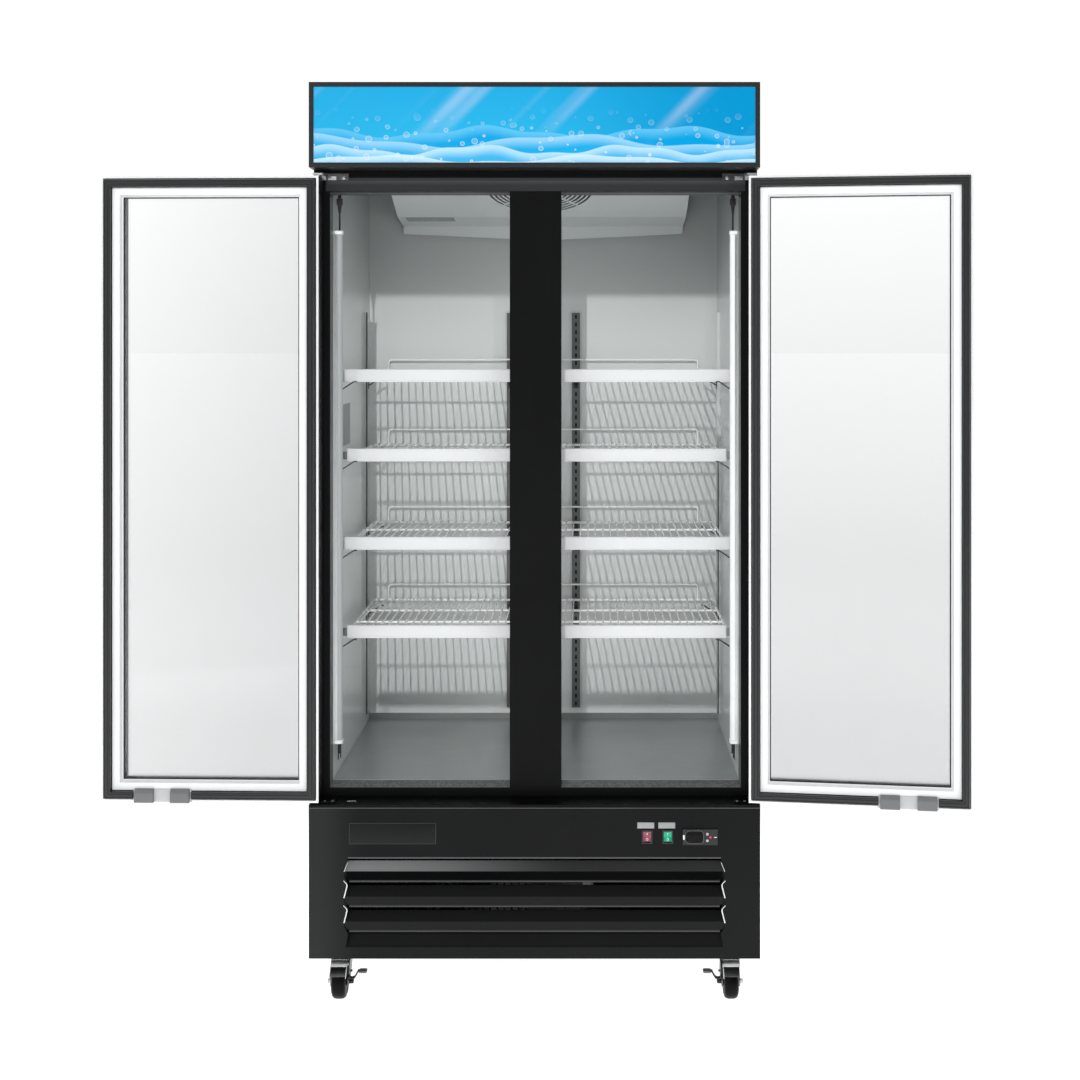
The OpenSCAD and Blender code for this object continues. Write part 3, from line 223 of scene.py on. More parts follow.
# %% [markdown]
# ## A small workshop of shapes
# Blender's primitives have razor edges, which no real part has. The `Shape` class below gathers points in
# millimetres and knows the few ways in which such a cabinet's parts are made: a block with broken edges, an
# outline drawn out into a bar, a profile swept round a rectangle as door frames and gaskets are, a bent wire,
# and a turned part. First come two helpers that round the corners of outlines and paths.

# %% Round corners


def bend(back, here, ahead, radius, share, steps):
    """A curve in place of a corner, over at most this share of each neighbouring side."""
    to_back, to_ahead = back - here, ahead - here
    reach = min(radius, to_back.length * share, to_ahead.length * share)
    start = here + to_back.normalized() * reach
    end = here + to_ahead.normalized() * reach
    parts = [k / steps for k in range(steps + 1)]
    return [start * (1 - t) ** 2 + here * 2 * t * (1 - t) + end * t * t for t in parts]


def soft_outline(outline, radius, steps=3):
    """Round the corners of a closed flat outline."""
    corners = [Vector(p) for p in outline]
    points = []
    for i, here in enumerate(corners):
        ahead = corners[(i + 1) % len(corners)]
        points += bend(corners[i - 1], here, ahead, radius, 0.45, steps)
    return [tuple(p) for p in points]


def bent(path, radius, steps=5):
    """Round the inner corners of an open path, as a bender does with a wire."""
    path = [Vector(p) for p in path]
    points = [path[0]]
    for back, here, ahead in zip(path, path[1:], path[2:]):
        points += bend(back, here, ahead, radius, 0.48, steps)
    return points + [path[-1]]


def turns(steps):
    """The angles of one round, in equal steps."""
    return [2 * math.pi * k / steps for k in range(steps)]


print("corner helpers ready")

# %% [markdown]
# Each method of `Shape` adds one closed solid, so that one mesh can hold many wires or screws. Faces are then
# turned outwards, and edges that meet at more than an angle stay sharp.

# %% Shape


class Shape:
    """Points in millimetres and faces, gathered one solid after another."""

    FEW_CORNERS = 9

    def __init__(self):
        self.points, self.faces = [], []

    def add(self, points, faces):
        start = len(self.points)
        self.points += [Vector(p) for p in points]
        self.faces += [[start + i for i in face] for face in faces]
        return self

    def block(self, low, high, edge=0.6, steps=2):
        """A box with broken edges."""
        low, high = Vector(low), Vector(high)
        bm = bmesh.new()
        bmesh.ops.create_cube(bm, size=1)
        for v in bm.verts:
            v.co = Vector(low[i] + (v.co[i] + 0.5) * (high[i] - low[i]) for i in range(3))
        bmesh.ops.bevel(bm, geom=bm.edges[:], offset=min(edge, min(high - low) * 0.45), segments=steps,
                        profile=0.5, affect="EDGES")
        bm.verts.index_update()
        self.add([v.co.copy() for v in bm.verts], [[v.index for v in f.verts] for f in bm.faces])
        bm.free()
        return self

    def prism(self, outline, low, high, axis="x", edge=0.0):
        """A flat outline drawn out along an axis, its end edges broken by `edge`."""
        rings = [(low, 0), (high, 0)]
        if edge:
            rings = [(low, edge), (low + edge, 0), (high - edge, 0), (high, edge)]
        flat = [Vector(p) for p in outline]
        inward = self.inward(flat)
        points = []
        for level, inset in rings:
            for p, way in zip(flat, inward):
                u, v = p + way * inset
                points.append({"x": (level, u, v), "y": (u, level, v), "z": (u, v, level)}[axis])
        return self.add(points, self.skin(len(outline), len(rings)))

    def inward(self, outline):
        """For each corner of a flat outline, the way to its inside. Outlines with few corners look to their
        middle, and longer ones follow the sense in which they run."""
        count = len(outline)
        centre = sum(outline, Vector((0, 0))) / count
        area = sum(a.x * b.y - b.x * a.y for a, b in zip(outline, outline[1:] + outline[:1]))
        ways = []
        for i, here in enumerate(outline):
            along = (outline[(i + 1) % count] - outline[i - 1]).normalized()
            way = Vector((-along.y, along.x))
            outside = way.dot(centre - here) < 0 if count < self.FEW_CORNERS else area <= 0
            ways.append(-way if outside else way)
        return ways

    @staticmethod
    def skin(count, rings):
        """The faces between rings of points, and the two end faces."""
        last = (rings - 1) * count
        faces = []
        for r in range(rings - 1):
            here, above = r * count, (r + 1) * count
            for i in range(count):
                j = (i + 1) % count
                faces.append([here + i, here + j, above + j, above + i])
        return faces + [list(range(count))[::-1], [last + i for i in range(count)]]

    def ring(self, profile, low, high, gap=None):
        """A closed profile of (inset, depth) swept round a rectangle in X and Z, mitred at its corners.
        A gap (x0, x1) leaves that stretch of the lower side open."""
        (x0, z0), (x1, z1) = low, high
        corners = [lambda u: (x1 - u, z0 + u), lambda u: (x1 - u, z1 - u),
                   lambda u: (x0 + u, z1 - u), lambda u: (x0 + u, z0 + u)]
        if gap:
            corners = [lambda u: (gap[1], z0 + u)] + corners + [lambda u: (gap[0], z0 + u)]
        count, stations = len(profile), len(corners)
        points = [(c(u)[0], v, c(u)[1]) for c in corners for u, v in profile]
        faces = []
        for s in range(stations - 1 if gap else stations):
            here, there = s * count, (s + 1) % stations * count
            for i in range(count):
                j = (i + 1) % count
                faces.append([here + i, here + j, there + j, there + i])
        if gap:
            last = (stations - 1) * count
            faces += [list(range(count)), [last + i for i in range(count)][::-1]]
        return self.add(points, faces)

    def tube(self, path, radius, sides=12):
        """A round bar along a path. radius is one number, or one for each point."""
        path = [Vector(p) for p in path]
        radii = radius if isinstance(radius, list) else [radius] * len(path)
        ahead = (path[1] - path[0]).normalized()
        side = ahead.orthogonal().normalized()
        points = []
        for i, p in enumerate(path):
            new = (path[min(i + 1, len(path) - 1)] - path[max(i - 1, 0)]).normalized()
            side = ahead.rotation_difference(new) @ side
            ahead = new
            up = ahead.cross(side)
            points += [p + radii[i] * (math.cos(a) * side + math.sin(a) * up) for a in turns(sides)]
        return self.add(points, self.skin(sides, len(path)))

    def turned(self, profile, steps=48, place=Matrix.Identity(4)):
        """A profile of (radius, height) turned about Z, then put in place. Ends on the axis are closed."""
        on_axis = 1e-6
        points, rings = [], []
        for r, h in profile:
            round_points = [Vector((r * math.cos(a), r * math.sin(a), h)) for a in turns(steps)]
            if r <= on_axis:
                round_points = round_points[:1]
            rings.append(range(len(points), len(points) + len(round_points)))
            points += [place @ p for p in round_points]
        faces = []
        closed = profile[0][0] > on_axis and profile[-1][0] > on_axis
        for a, b in zip(rings, rings[1:] + ([rings[0]] if closed else [])):
            for k in range(steps):
                quad = [a[k % len(a)], a[(k + 1) % len(a)], b[(k + 1) % len(b)], b[k % len(b)]]
                faces.append(list(dict.fromkeys(quad)))
        return self.add(points, [f for f in faces if len(f) > 2])

    def moved(self, matrix):
        return Shape().add([matrix @ p for p in self.points], self.faces)

    def mesh(self, name, angle=35):
        """A Blender mesh in metres. Edges sharper than `angle` stay sharp."""
        mesh = bpy.data.meshes.new(name)
        mesh.from_pydata([tuple(p * MM) for p in self.points], [], self.faces)
        bm = bmesh.new()
        bm.from_mesh(mesh)
        bmesh.ops.recalc_face_normals(bm, faces=bm.faces[:])
        bm.to_mesh(mesh)
        bm.free()
        mesh.shade_smooth()
        mesh.set_sharp_from_angle(angle=math.radians(angle))
        return mesh


def place_piece(name, shape, body, finish, replaced=None, height=0.0, angle=35):
    """Put a shape, or a mesh that several pieces share, in the scene. It gets its finish, rides on a body
    and may stand for a CAD node."""
    mesh = shape.mesh(name, angle) if isinstance(shape, Shape) else shape
    piece = bpy.data.objects.new(name, mesh)
    scene.collection.objects.link(piece)
    piece.location.z = height * MM
    if not mesh.materials:
        mesh.materials.append(finish)
    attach(piece, body)
    if replaced:
        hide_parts(replaced)


def turn_about(axis, degrees):
    return Matrix.Rotation(math.radians(degrees), 4, axis)


print("shape tools ready")

# %% [markdown]
# ## Effects that several finishes share
# Real surfaces are told apart by small things: the orange-peel of powder coat, the lines that a brush leaves,
# the slow waves of thin sheet, and dust that settles where it can. Each is a node group with its own inputs,
# built once and placed in each material with its own values. A group gives out only masks, values and
# normals, and the shader stays in the material.

# %% Group builder


def new_group(name, inputs, outputs):
    """An empty node group with its sockets, as a graph, what it is given and what it gives out."""
    tree = bpy.data.node_groups.new(name, "ShaderNodeTree")
    for title, kind, value in inputs:
        socket = tree.interface.new_socket(name=title, in_out="INPUT", socket_type="NodeSocket" + kind)
        socket.default_value = value
    for title, kind in outputs:
        tree.interface.new_socket(name=title, in_out="OUTPUT", socket_type="NodeSocket" + kind)
    return Graph(tree), tree.nodes.new("NodeGroupInput").outputs, tree.nodes.new("NodeGroupOutput").inputs


print("group builder ready")

# %% [markdown]
# ### Rounded edges and rub marks
# The sheet metal in the CAD has sharp folds. The Bevel node bends the normal near an edge, so that the edge
# catches a thin line of light as a real fold does. Where the bent normal differs from the true one, paint is
# also rubbed thin, which gives the mask for wear, and on the base also for a painted highlight along the
# folds.

# %% Fold group
graph, given, result = new_group(
    "fold_and_peel",
    [("Radius", "Float", 0.001), ("Peel Scale", "Float", 900.0), ("Peel Strength", "Float", 0.1)],
    [("Normal", "Vector"), ("Edge", "Float")])
folded = graph.node("Bevel", samples=4, Radius=given["Radius"])["Normal"]
peel = graph.noise(Scale=given["Peel Scale"], Detail=2.0, Roughness=0.5)
peeled = graph.node("Bump", Strength=given["Peel Strength"], Distance=0.0004, Height=peel, Normal=folded)
graph.feed(result["Normal"], peeled["Normal"])
true_normal = graph.node("NewGeometry")["Normal"]
likeness = graph.node("VectorMath", true_normal, folded, operation="DOT_PRODUCT")["Value"]
graph.feed(result["Edge"], graph.span(likeness, 0.995, 0.8))
fold_group = graph.tree
print("made", fold_group.name)

# %% [markdown]
# ### Uneven tone and dust
# No coat has one even tone. A slow cloud of noise shifts it a little, and faces that look up hold a trace of
# dust.

# %% Tone group
graph, given, result = new_group(
    "tone_and_dust",
    [("Scale", "Float", 3.0), ("Dust", "Float", 0.2)],
    [("Tone", "Float"), ("Dust", "Float"), ("Smudge", "Float")])
cloud = graph.noise(Scale=given["Scale"], Detail=4.0, Roughness=0.55)
graph.feed(result["Tone"], graph.span(cloud, 0.3, 0.7))
speck = graph.noise(Scale=160.0, Detail=3.0)
upward = graph.node("SeparateXYZ", graph.node("NewGeometry")["Normal"])["Z"]
settled = graph.times(graph.span(upward, 0.3, 1.0), given["Dust"])
graph.feed(result["Dust"], graph.times(settled, graph.span(speck, 0.35, 0.7)))
smear = graph.noise((1, 1, 0.35), Scale=14.0, Detail=5.0, Distortion=1.2)
graph.feed(result["Smudge"], graph.span(smear, 0.4, 0.75))
tone_group = graph.tree
print("made", tone_group.name)

# %% [markdown]
# ### Brush lines
# A brushing belt leaves long, fine lines. Noise that is stretched along one axis gives them: a value that
# changes the roughness, and a normal with the scratches in it.

# %% Brush group
graph, given, result = new_group(
    "brush_lines",
    [("Stretch", "Vector", (4.0, 900.0, 900.0)), ("Strength", "Float", 0.15), ("Radius", "Float", 0.0008)],
    [("Line", "Float"), ("Normal", "Vector")])
lines = graph.noise(given["Stretch"], Scale=1.0, Detail=3.0, Roughness=0.7)
graph.feed(result["Line"], lines)
folded = graph.node("Bevel", samples=4, Radius=given["Radius"])["Normal"]
brushed = graph.node("Bump", Strength=given["Strength"], Distance=0.0003, Height=lines, Normal=folded)
graph.feed(result["Normal"], brushed["Normal"])
brush_group = graph.tree
print("made", brush_group.name)

# %% [markdown]
# ### Slow waves in thin sheet
# Foam is blown behind the liner, and the sheet is left a little wavy: long upright ripples, and broader
# dents. They hardly show in the colour, but they bend every reflection.

# %% Wave group
graph, given, result = new_group(
    "sheet_waves",
    [("Ripple", "Float", 0.5), ("Dent", "Float", 0.5), ("Normal", "Vector", (0, 0, 0))],
    [("Normal", "Vector"), ("Height", "Float")])
ripple = graph.noise((34, 34, 2.6), Scale=1.0, Detail=1.5, Roughness=0.4)
dent = graph.noise(Scale=6.0, Detail=1.0)
wavy = graph.plus(graph.times(ripple, given["Ripple"]), graph.times(dent, given["Dent"]))
waved = graph.node("Bump", Strength=1.0, Distance=0.0016, Height=wavy, Normal=given["Normal"])
graph.feed(result["Normal"], waved["Normal"])
graph.feed(result["Height"], wavy)
wave_group = graph.tree
print("made", wave_group.name)

# %% [markdown]
# ## From groups to finishes
# `Finish` opens a material with one Principled shader and adds the groups to it. Values that are the same all
# over a surface are set on the shader's own sockets.

# %% Finish


class Finish(Graph):
    def __init__(self, name, **shader):
        self.material = bpy.data.materials.new(name)
        self.material.use_nodes = True
        super().__init__(self.material.node_tree)
        self.shader = self.tree.nodes["Principled BSDF"]
        self.into(**shader)

    def group(self, tree, **values):
        """Place a node group and hand out its outputs."""
        node = self.tree.nodes.new("ShaderNodeGroup")
        node.node_tree = tree
        for key, value in values.items():
            self.feed(node.inputs[key.replace("_", " ")], value)
        return node.outputs

    def into(self, **sockets):
        """Feed the shader's sockets."""
        for key, value in sockets.items():
            self.feed(self.shader.inputs[key.replace("_", " ")], value)


def coat(name, light, dark, rough=0.42, peel=0.1, scale=900.0, radius=0.001, dust=0.15, gloss=0.35,
         edge_wear_and_highlight=None, shade=None):
    """Powder coat or moulded plastic: tone, dust on top, broken edges and a fine peel. `shade` may change the
    colour by its place on the piece."""
    finish = Finish(name, Specular_IOR_Level=gloss)
    tone = finish.group(tone_group, Dust=dust)
    fold = finish.group(fold_group, Radius=radius, Peel_Scale=scale, Peel_Strength=peel)
    colour = finish.mix(tone["Tone"], dark, light)
    # Paler folds: edge wear, and on the base also a painted highlight.
    if edge_wear_and_highlight:
        colour = finish.mix(finish.times(fold["Edge"], 0.5), colour, edge_wear_and_highlight)
    colour = finish.mix(tone["Dust"], colour, (0.5, 0.5, 0.49))
    if shade:
        colour = shade(finish, colour)
    roughness = finish.span(tone["Smudge"], 0.0, 1.0, rough - 0.04, rough + 0.06, "LINEAR")
    finish.into(Base_Color=colour, Roughness=roughness, Normal=fold["Normal"])
    return finish.material


def metal(name, light, dark, rough=0.3, stretch=(4, 900, 900), lines=0.15, radius=0.0008, whole=1.0,
          shade=None):
    """Bare metal with brush lines. `whole` below 1 is metal under a clear or oxide film."""
    finish = Finish(name, Metallic=whole)
    tone = finish.group(tone_group, Scale=8.0)
    brush = finish.group(brush_group, Stretch=stretch, Strength=lines, Radius=radius)
    colour = finish.mix(tone["Tone"], dark, light)
    if shade:
        colour = shade(finish, colour)
    graded = finish.plus(finish.span(brush["Line"], 0.3, 0.7, rough - 0.06, rough + 0.08, "LINEAR"),
                         finish.times(tone["Smudge"], 0.06))
    finish.into(Base_Color=colour, Roughness=graded, Normal=brush["Normal"])
    return finish.material


def dress(finish, *nodes):
    """Give CAD nodes a finish through their own material slots."""
    for name in nodes:
        for holder in frame["nodes"][name].material_slots:
            holder.material = finish


print("finishes can be made")

# %% [markdown]
# ### The studio floor
# The paper under the object is white to the camera, and dims behind the camera's side, so that the black
# sheet mirrors a dark floor. Far behind the object it only glows, so no horizon shows.

# %% Floor paper
BLACK = (0.0, 0.0, 0.0)
paper = Finish("floor_paper", Roughness=1.0, Specular_IOR_Level=0.0)
mottle = paper.node("TexNoise", Scale=2.0, Detail=3.0)["Fac"]
tone = paper.mix(mottle, (0.90, 0.90, 0.90), (0.94, 0.94, 0.94))
depth = paper.axes()["Y"]
behind = paper.span(depth, 0.5, 1.15)
ray = paper.node("LightPath")
straight = paper.math("MAXIMUM", ray["Is Camera Ray"], ray["Is Transmission Ray"])
near = paper.math("MAXIMUM", paper.span(depth, -1.25, -0.75), straight)
glow = paper.mix(behind, paper.mix(near, BLACK, (0.86, 0.86, 0.86)), (1, 1, 1))
paper.into(Base_Color=paper.mix(behind, tone, BLACK), Emission_Color=glow, Emission_Strength=PAPER_WHITE)
floor_mesh.materials.append(paper.material)
print("floor paper laid")

# %% [markdown]
# ## The black cabinet
# Shell, front frame, header box and base are folded from steel sheet and powder coated black. The shape in
# the CAD is right, so only the finish is made here. The mullion is smoother than the shell, because people
# look at it between the doors. Small functions paint light into a coat by its place: a painted highlight on
# the upper rail and at the base's left, and painted shade in the louvre window and on the slat that faces
# down.

# %% Black sheet
FRONT = -350.0
LOUVRE_HALF, LOUVRE_IN = 422.0, 413.0
LOUVRE_TOP, LOUVRE_STEP, SLAT_TALL = 300.6, 55.2, 19.0
WINDOW_LOW, WINDOW_HIGH = 0.135, 0.322


def rail_painted_highlight(finish, colour):
    """Painted highlight: the upper rail is painted a lighter grey below the header's lip, and paler towards
    its top, against the header's cast shadow.
    """
    axes = finish.axes()
    rail = finish.times(finish.band(axes["Z"], 1.8145, 1.8445, 0.0012),
                        finish.span(finish.math("ABSOLUTE", axes["X"]), 0.474, 0.472))
    grey = finish.mix(finish.span(axes["Z"], 1.826, 1.838), (0.027, 0.028, 0.030), (0.050, 0.051, 0.053))
    return finish.mix(rail, colour, grey)


def base_painted_light(finish, colour):
    """Painted light on the base: a painted highlight towards the left end and on the first slat's left,
    painted shade in the recessed louvre window and on the first slat's lower face, and darker above the upper
    bead.
    """
    axes = finish.axes()
    # Painted highlight: paler towards the left end.
    colour = finish.mix(finish.span(axes["X"], -0.38, -0.49), colour, (0.017, 0.0175, 0.018))
    # Darker above the upper bead.
    colour = finish.mix(finish.span(axes["Z"], 0.4425, 0.4435), colour, (0.002, 0.002, 0.002))
    # Painted shade: darker inside the recessed louvre window.
    window = finish.times(finish.band(axes["X"], -LOUVRE_HALF * MM, LOUVRE_HALF * MM),
                          finish.band(axes["Z"], WINDOW_LOW, WINDOW_HIGH))
    window = finish.times(window, finish.span(axes["Y"], -0.3499, -0.3496))
    colour = finish.mix(window, colour, (0.0052, 0.0054, 0.0057))
    top = LOUVRE_TOP * MM
    # Painted highlight on the first slat, fading from the left.
    first_slat = finish.times(window, finish.band(axes["Z"], top + 0.001, WINDOW_HIGH))
    graded = finish.times(first_slat, finish.span(axes["X"], 0.10, -0.40, 0.12, 1.0))
    colour = finish.mix(graded, colour, (0.17, 0.172, 0.175))
    # Painted shade on the first slat's lower face, which faces down.
    under = finish.times(window, finish.band(axes["Z"], top - 0.0195, top - 0.0005))
    return finish.mix(under, colour, (0.0008, 0.0008, 0.0009))


black_coat = coat("black_powder_coat", (0.020, 0.0205, 0.022), (0.015, 0.0155, 0.017), dust=0.02, gloss=0.25,
                  edge_wear_and_highlight=(0.06, 0.06, 0.065))
frame_coat = coat("black_frame_coat", (0.0044, 0.0046, 0.0048), (0.0034, 0.0036, 0.0038), rough=0.38,
                  peel=0.04, dust=0.0, gloss=0.1, shade=rail_painted_highlight)
# The base's paler folds are partly edge wear and partly a painted highlight.
base_coat = coat("black_base_coat", (0.0052, 0.0055, 0.0060), (0.0040, 0.0043, 0.0048), rough=0.45,
                 peel=0.08, radius=0.0009, dust=0.0, gloss=0.13, edge_wear_and_highlight=(0.03, 0.03, 0.033), shade=base_painted_light)
shell_coat = coat("black_shell_coat", (0.0150, 0.0154, 0.0165), (0.0138, 0.0142, 0.0153), rough=0.52,
                  dust=0.02, gloss=0.14)
dress(black_coat, "header_box")
dress(shell_coat, "outer_shell", "rear_panel")
dress(frame_coat, "front_frame", "mullion")
dress(base_coat, "base_panel")
print("black coats:", black_coat.name, shell_coat.name, frame_coat.name, base_coat.name)

# %% [markdown]
# A plastic strip lines the opening and keeps the cold off the steel frame. Two dark lines are painted along
# its top: painted shade where the frame's return faces down over it, and a second dark line a little lower.

# %% Breaker strip


def breaker_painted_shade(finish, colour):
    """Painted shade: a dark band along the top, where the frame's return faces down, and a second dark band a
    little lower.
    """
    up = finish.axes()["Z"]
    upper = finish.span(up, 1.8112, 1.8120)
    lower = finish.times(finish.span(up, 1.8084, 1.8078), finish.span(up, 1.80, 1.801))
    return finish.mix(finish.plus(upper, lower), colour, (0.004, 0.004, 0.004))


breaker_plastic = coat("breaker_plastic", (0.075, 0.08, 0.082), (0.055, 0.058, 0.06), rough=0.35, peel=0.03,
                       gloss=0.5, shade=breaker_painted_shade)
dress(breaker_plastic, "breaker_strip")
print("breaker strip:", breaker_plastic.name)

# %% [markdown]
# ### Hems and ends of the louvres
# A press draws each louvre out of the sheet. Its lower lip is hemmed, so that no raw edge shows, and at both
# ends the steel is stretched into a slanting cheek. The CAD has the slats, so we lay the rolled hems and the
# cheeks over them. All are tubes, which is what the press leaves. The hems are painted a paler black and the
# cheeks pale grey: painted highlights where those edges catch the light.

# %% Louvre hems and cheeks
hems, cheeks = Shape(), Shape()
creases = [LOUVRE_TOP - i * LOUVRE_STEP for i in range(3)]
for i, crease in enumerate(creases):
    hem = crease - SLAT_TALL - 3.1
    hems.tube([(-LOUVRE_IN + 2, FRONT + 6.3, hem), (LOUVRE_IN - 2, FRONT + 6.3, hem)], 3.2, 16)
    for side, _ in SIDES:
        fold = (side * LOUVRE_HALF, FRONT + 0.7, crease)
        if i:
            arm = bent([(side * (LOUVRE_HALF + 1.2), FRONT + 0.1, crease + 35.5),
                        (side * (LOUVRE_IN + 1.5), FRONT + 0.3, crease + 26.5),
                        (*fold[:2], crease - 3)], 4, 4)
            shares = [k / (len(arm) - 1) for k in range(len(arm))]
            cheeks.tube(arm, [0.8 + 0.6 * min(1, 1.4 * share) for share in shares], 10)
        else:
            cheeks.tube([(side * (LOUVRE_IN + 0.5), FRONT + 2, crease + 20), fold], [0.5, 0.9], 10)
# Painted highlights: the hems are paler than the panel, and the cheeks pale grey.
hem_coat = coat("hem_coat", (0.032, 0.033, 0.034), (0.026, 0.027, 0.028), rough=0.34, peel=0.03, dust=0.0,
                gloss=0.4)
cheek_coat = coat("cheek_coat", (0.74, 0.75, 0.75), (0.60, 0.61, 0.61), rough=0.34, peel=0.05, dust=0.0,
                  gloss=0.5)
place_piece("louvre_hems", hems, "cabinet", hem_coat)
place_piece("louvre_cheeks", cheeks, "cabinet", cheek_coat)
print("hems at", [round(crease - SLAT_TALL, 1) for crease in creases], "mm")

# %% [markdown]
# Below the first slat's crease lies a near-black face with no shine, painted shade where it faces down. A
# bead runs along the panel's upper edge and over the window, painted paler as a painted highlight, and a
# near-black sloping sill closes the lowest gap as painted shade. Face and sill are folded strips, as the
# brake leaves them.

# %% Face, beads and sill
face_end = [(FRONT - 0.2, 300.3), (FRONT + 2.75, 281.4), (FRONT + 3.3, 281.4), (FRONT + 0.4, 300.3)]
sill_end = [(FRONT + 19, 163), (FRONT + 20.5, 162.4), (FRONT + 3.6, 131.5), (FRONT + 2.1, 132.1)]
face = Shape().prism(face_end, -LOUVRE_IN - 4, LOUVRE_IN + 4)
sill = Shape().prism(sill_end, -LOUVRE_HALF, LOUVRE_HALF)
beads = Shape().tube([(-LOUVRE_IN, FRONT + 1.0, 331.6), (LOUVRE_IN, FRONT + 1.0, 331.6)], 1.9, 12)
beads.tube([(-499, FRONT + 0.6, 441.6), (499, FRONT + 0.6, 441.6)], 1.1, 10)
# Painted shade on the slat's face and the sill, and a painted highlight on the beads.
face_matt = coat("face_matt", (0.0035, 0.0036, 0.0038), (0.0025, 0.0026, 0.0028), rough=0.8, peel=0.06,
                 dust=0.0, gloss=0.0)
bead_coat = coat("bead_coat", (0.075, 0.077, 0.08), (0.06, 0.062, 0.064), rough=0.34, peel=0.03, dust=0.0,
                 gloss=0.5)
sill_coat = coat("sill_coat", (0.006, 0.0062, 0.0065), (0.0045, 0.0047, 0.005), rough=0.5, peel=0.06,
                 dust=0.0, gloss=0.15)
place_piece("louvre_face", face, "cabinet", face_matt)
place_piece("base_beads", beads, "cabinet", bead_coat)
place_piece("louvre_sill", sill, "cabinet", sill_coat)
print("beads and sill laid over", 2 * LOUVRE_HALF, "mm")

# %% [markdown]
# ## The pale liner and its metal floor
# The inside is pre-painted sheet: pale, a little green, and glossy enough to mirror the shelf wires and the
# LED bars. The waves group bends those mirror images. Near the ceiling less light reaches it, so its colour
# falls off there. The floor panel is bare brushed metal, duller where it is scuffed.

# %% Liner and floor
liner = Finish("pale_liner", Specular_IOR_Level=0.5, Coat_Weight=0.35, Coat_Roughness=0.08)
tone = liner.group(tone_group, Scale=2.0, Dust=0.0)["Tone"]
fold = liner.group(fold_group, Radius=0.004, Peel_Scale=500.0, Peel_Strength=0.03)["Normal"]
waves = liner.group(wave_group, Ripple=0.22, Dent=0.1, Normal=fold)
painted = liner.mix(tone, (0.695, 0.725, 0.72), (0.71, 0.74, 0.735))
painted = liner.mix(liner.span(liner.axes()["Z"], 1.46, 1.76), painted, (0.45, 0.475, 0.47))
liner.into(Base_Color=painted, Roughness=liner.span(tone, 0.0, 1.0, 0.285, 0.295, "LINEAR"),
           Normal=waves["Normal"])
dress(liner.material, "liner")

panel = Finish("floor_panel_metal", Metallic=0.85)
tone = panel.group(tone_group, Scale=5.0, Dust=0.0)["Tone"]
brush = panel.group(brush_group, Stretch=(6, 420, 420), Strength=0.12, Radius=0.002)
scuff = panel.node("TexVoronoi", Scale=26.0, feature="DISTANCE_TO_EDGE")["Distance"]
rough = panel.plus(panel.span(brush["Line"], 0.3, 0.7, 0.3, 0.42, "LINEAR"),
                   panel.span(scuff, 0.0, 0.02, 0.08, 0.0))
panel.into(Base_Color=panel.mix(tone, (0.47, 0.485, 0.485), (0.51, 0.525, 0.525)), Roughness=rough,
           Normal=brush["Normal"])
dress(panel.material, "floor_panel")
print("liner and floor dressed")

# %% [markdown]
# ## Evaporator cover
# Under the ceiling hangs a white tray with arc slots for the fan. It is moulded plastic with a fine grain. A
# bare grey strip is stuck under its sloping rear part, where such a cover has a label.

# %% Cover
cover_plastic = coat("cover_plastic", (0.63, 0.665, 0.675), (0.61, 0.645, 0.655), rough=0.4, peel=0.08,
                     scale=1400.0, dust=0.0, gloss=0.5, radius=0.002)
dress(cover_plastic, "evaporator_cover")
LIP_HEIGHT, COVER_SLOPE = 1780.0, math.radians(6.3)
LABEL_FRONT, LABEL_BACK = 158.0, 208.0
lip_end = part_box("evaporator_cover")[1].y / MM


def under_cover(y):
    """Height of the lower face of the cover's rear part, in millimetres."""
    return LIP_HEIGHT + (lip_end - y) * math.tan(COVER_SLOPE)


label_end = [(LABEL_FRONT, under_cover(LABEL_FRONT) - 0.5), (LABEL_BACK, under_cover(LABEL_BACK) - 0.5),
             (LABEL_BACK, under_cover(LABEL_BACK) + 0.1), (LABEL_FRONT, under_cover(LABEL_FRONT) + 0.1)]
label = Shape().prism(soft_outline(label_end, 0.1, 2), -348, -225)
paper_label = coat("bare_label", (0.34, 0.36, 0.37), (0.28, 0.3, 0.31), rough=0.5, peel=0.05, dust=0.0)
place_piece("cover_label", label, "cabinet", paper_label)
print("cover height at its lip:", round(under_cover(lip_end), 1))

# %% [markdown]
# ## Machine parts behind the panels
# Coils, motors, compressor and copper lines hardly show, but they are there when the cabinet is seen through
# its louvres or its vent slots, so they get their finishes too.

# %% Machine finishes
# The fins are black coated, and made nearly black as painted shade for the inside of the base.
coil_black_and_shade = coat("fin_epoxy", (0.0035, 0.0036, 0.0038), (0.0022, 0.0023, 0.0024), rough=0.7, peel=0.2,
                  gloss=0.1, dust=0.0)
zinc = metal("zinc_plate", (0.52, 0.53, 0.54), (0.42, 0.43, 0.44), 0.38, (60, 60, 60), 0.08)
pan_steel = coat("pan_steel", (0.02, 0.0205, 0.021), (0.014, 0.0145, 0.015), rough=0.5, peel=0.1, gloss=0.2)
copper = metal("drawn_copper", (0.78, 0.42, 0.26), (0.55, 0.27, 0.17), 0.3, (300, 300, 12), 0.1)
motor_paint = coat("motor_paint", (0.12, 0.12, 0.125), (0.09, 0.09, 0.095))
gloss_black = coat("compressor_enamel", (0.012, 0.012, 0.013), (0.02, 0.02, 0.02), rough=0.22, gloss=0.5)
fan_plastic = coat("fan_plastic", (0.05, 0.05, 0.052), (0.035, 0.035, 0.036), rough=0.45)
foam = coat("blown_foam", (0.85, 0.74, 0.48), (0.75, 0.62, 0.38), rough=0.9, peel=0.9, scale=300.0)
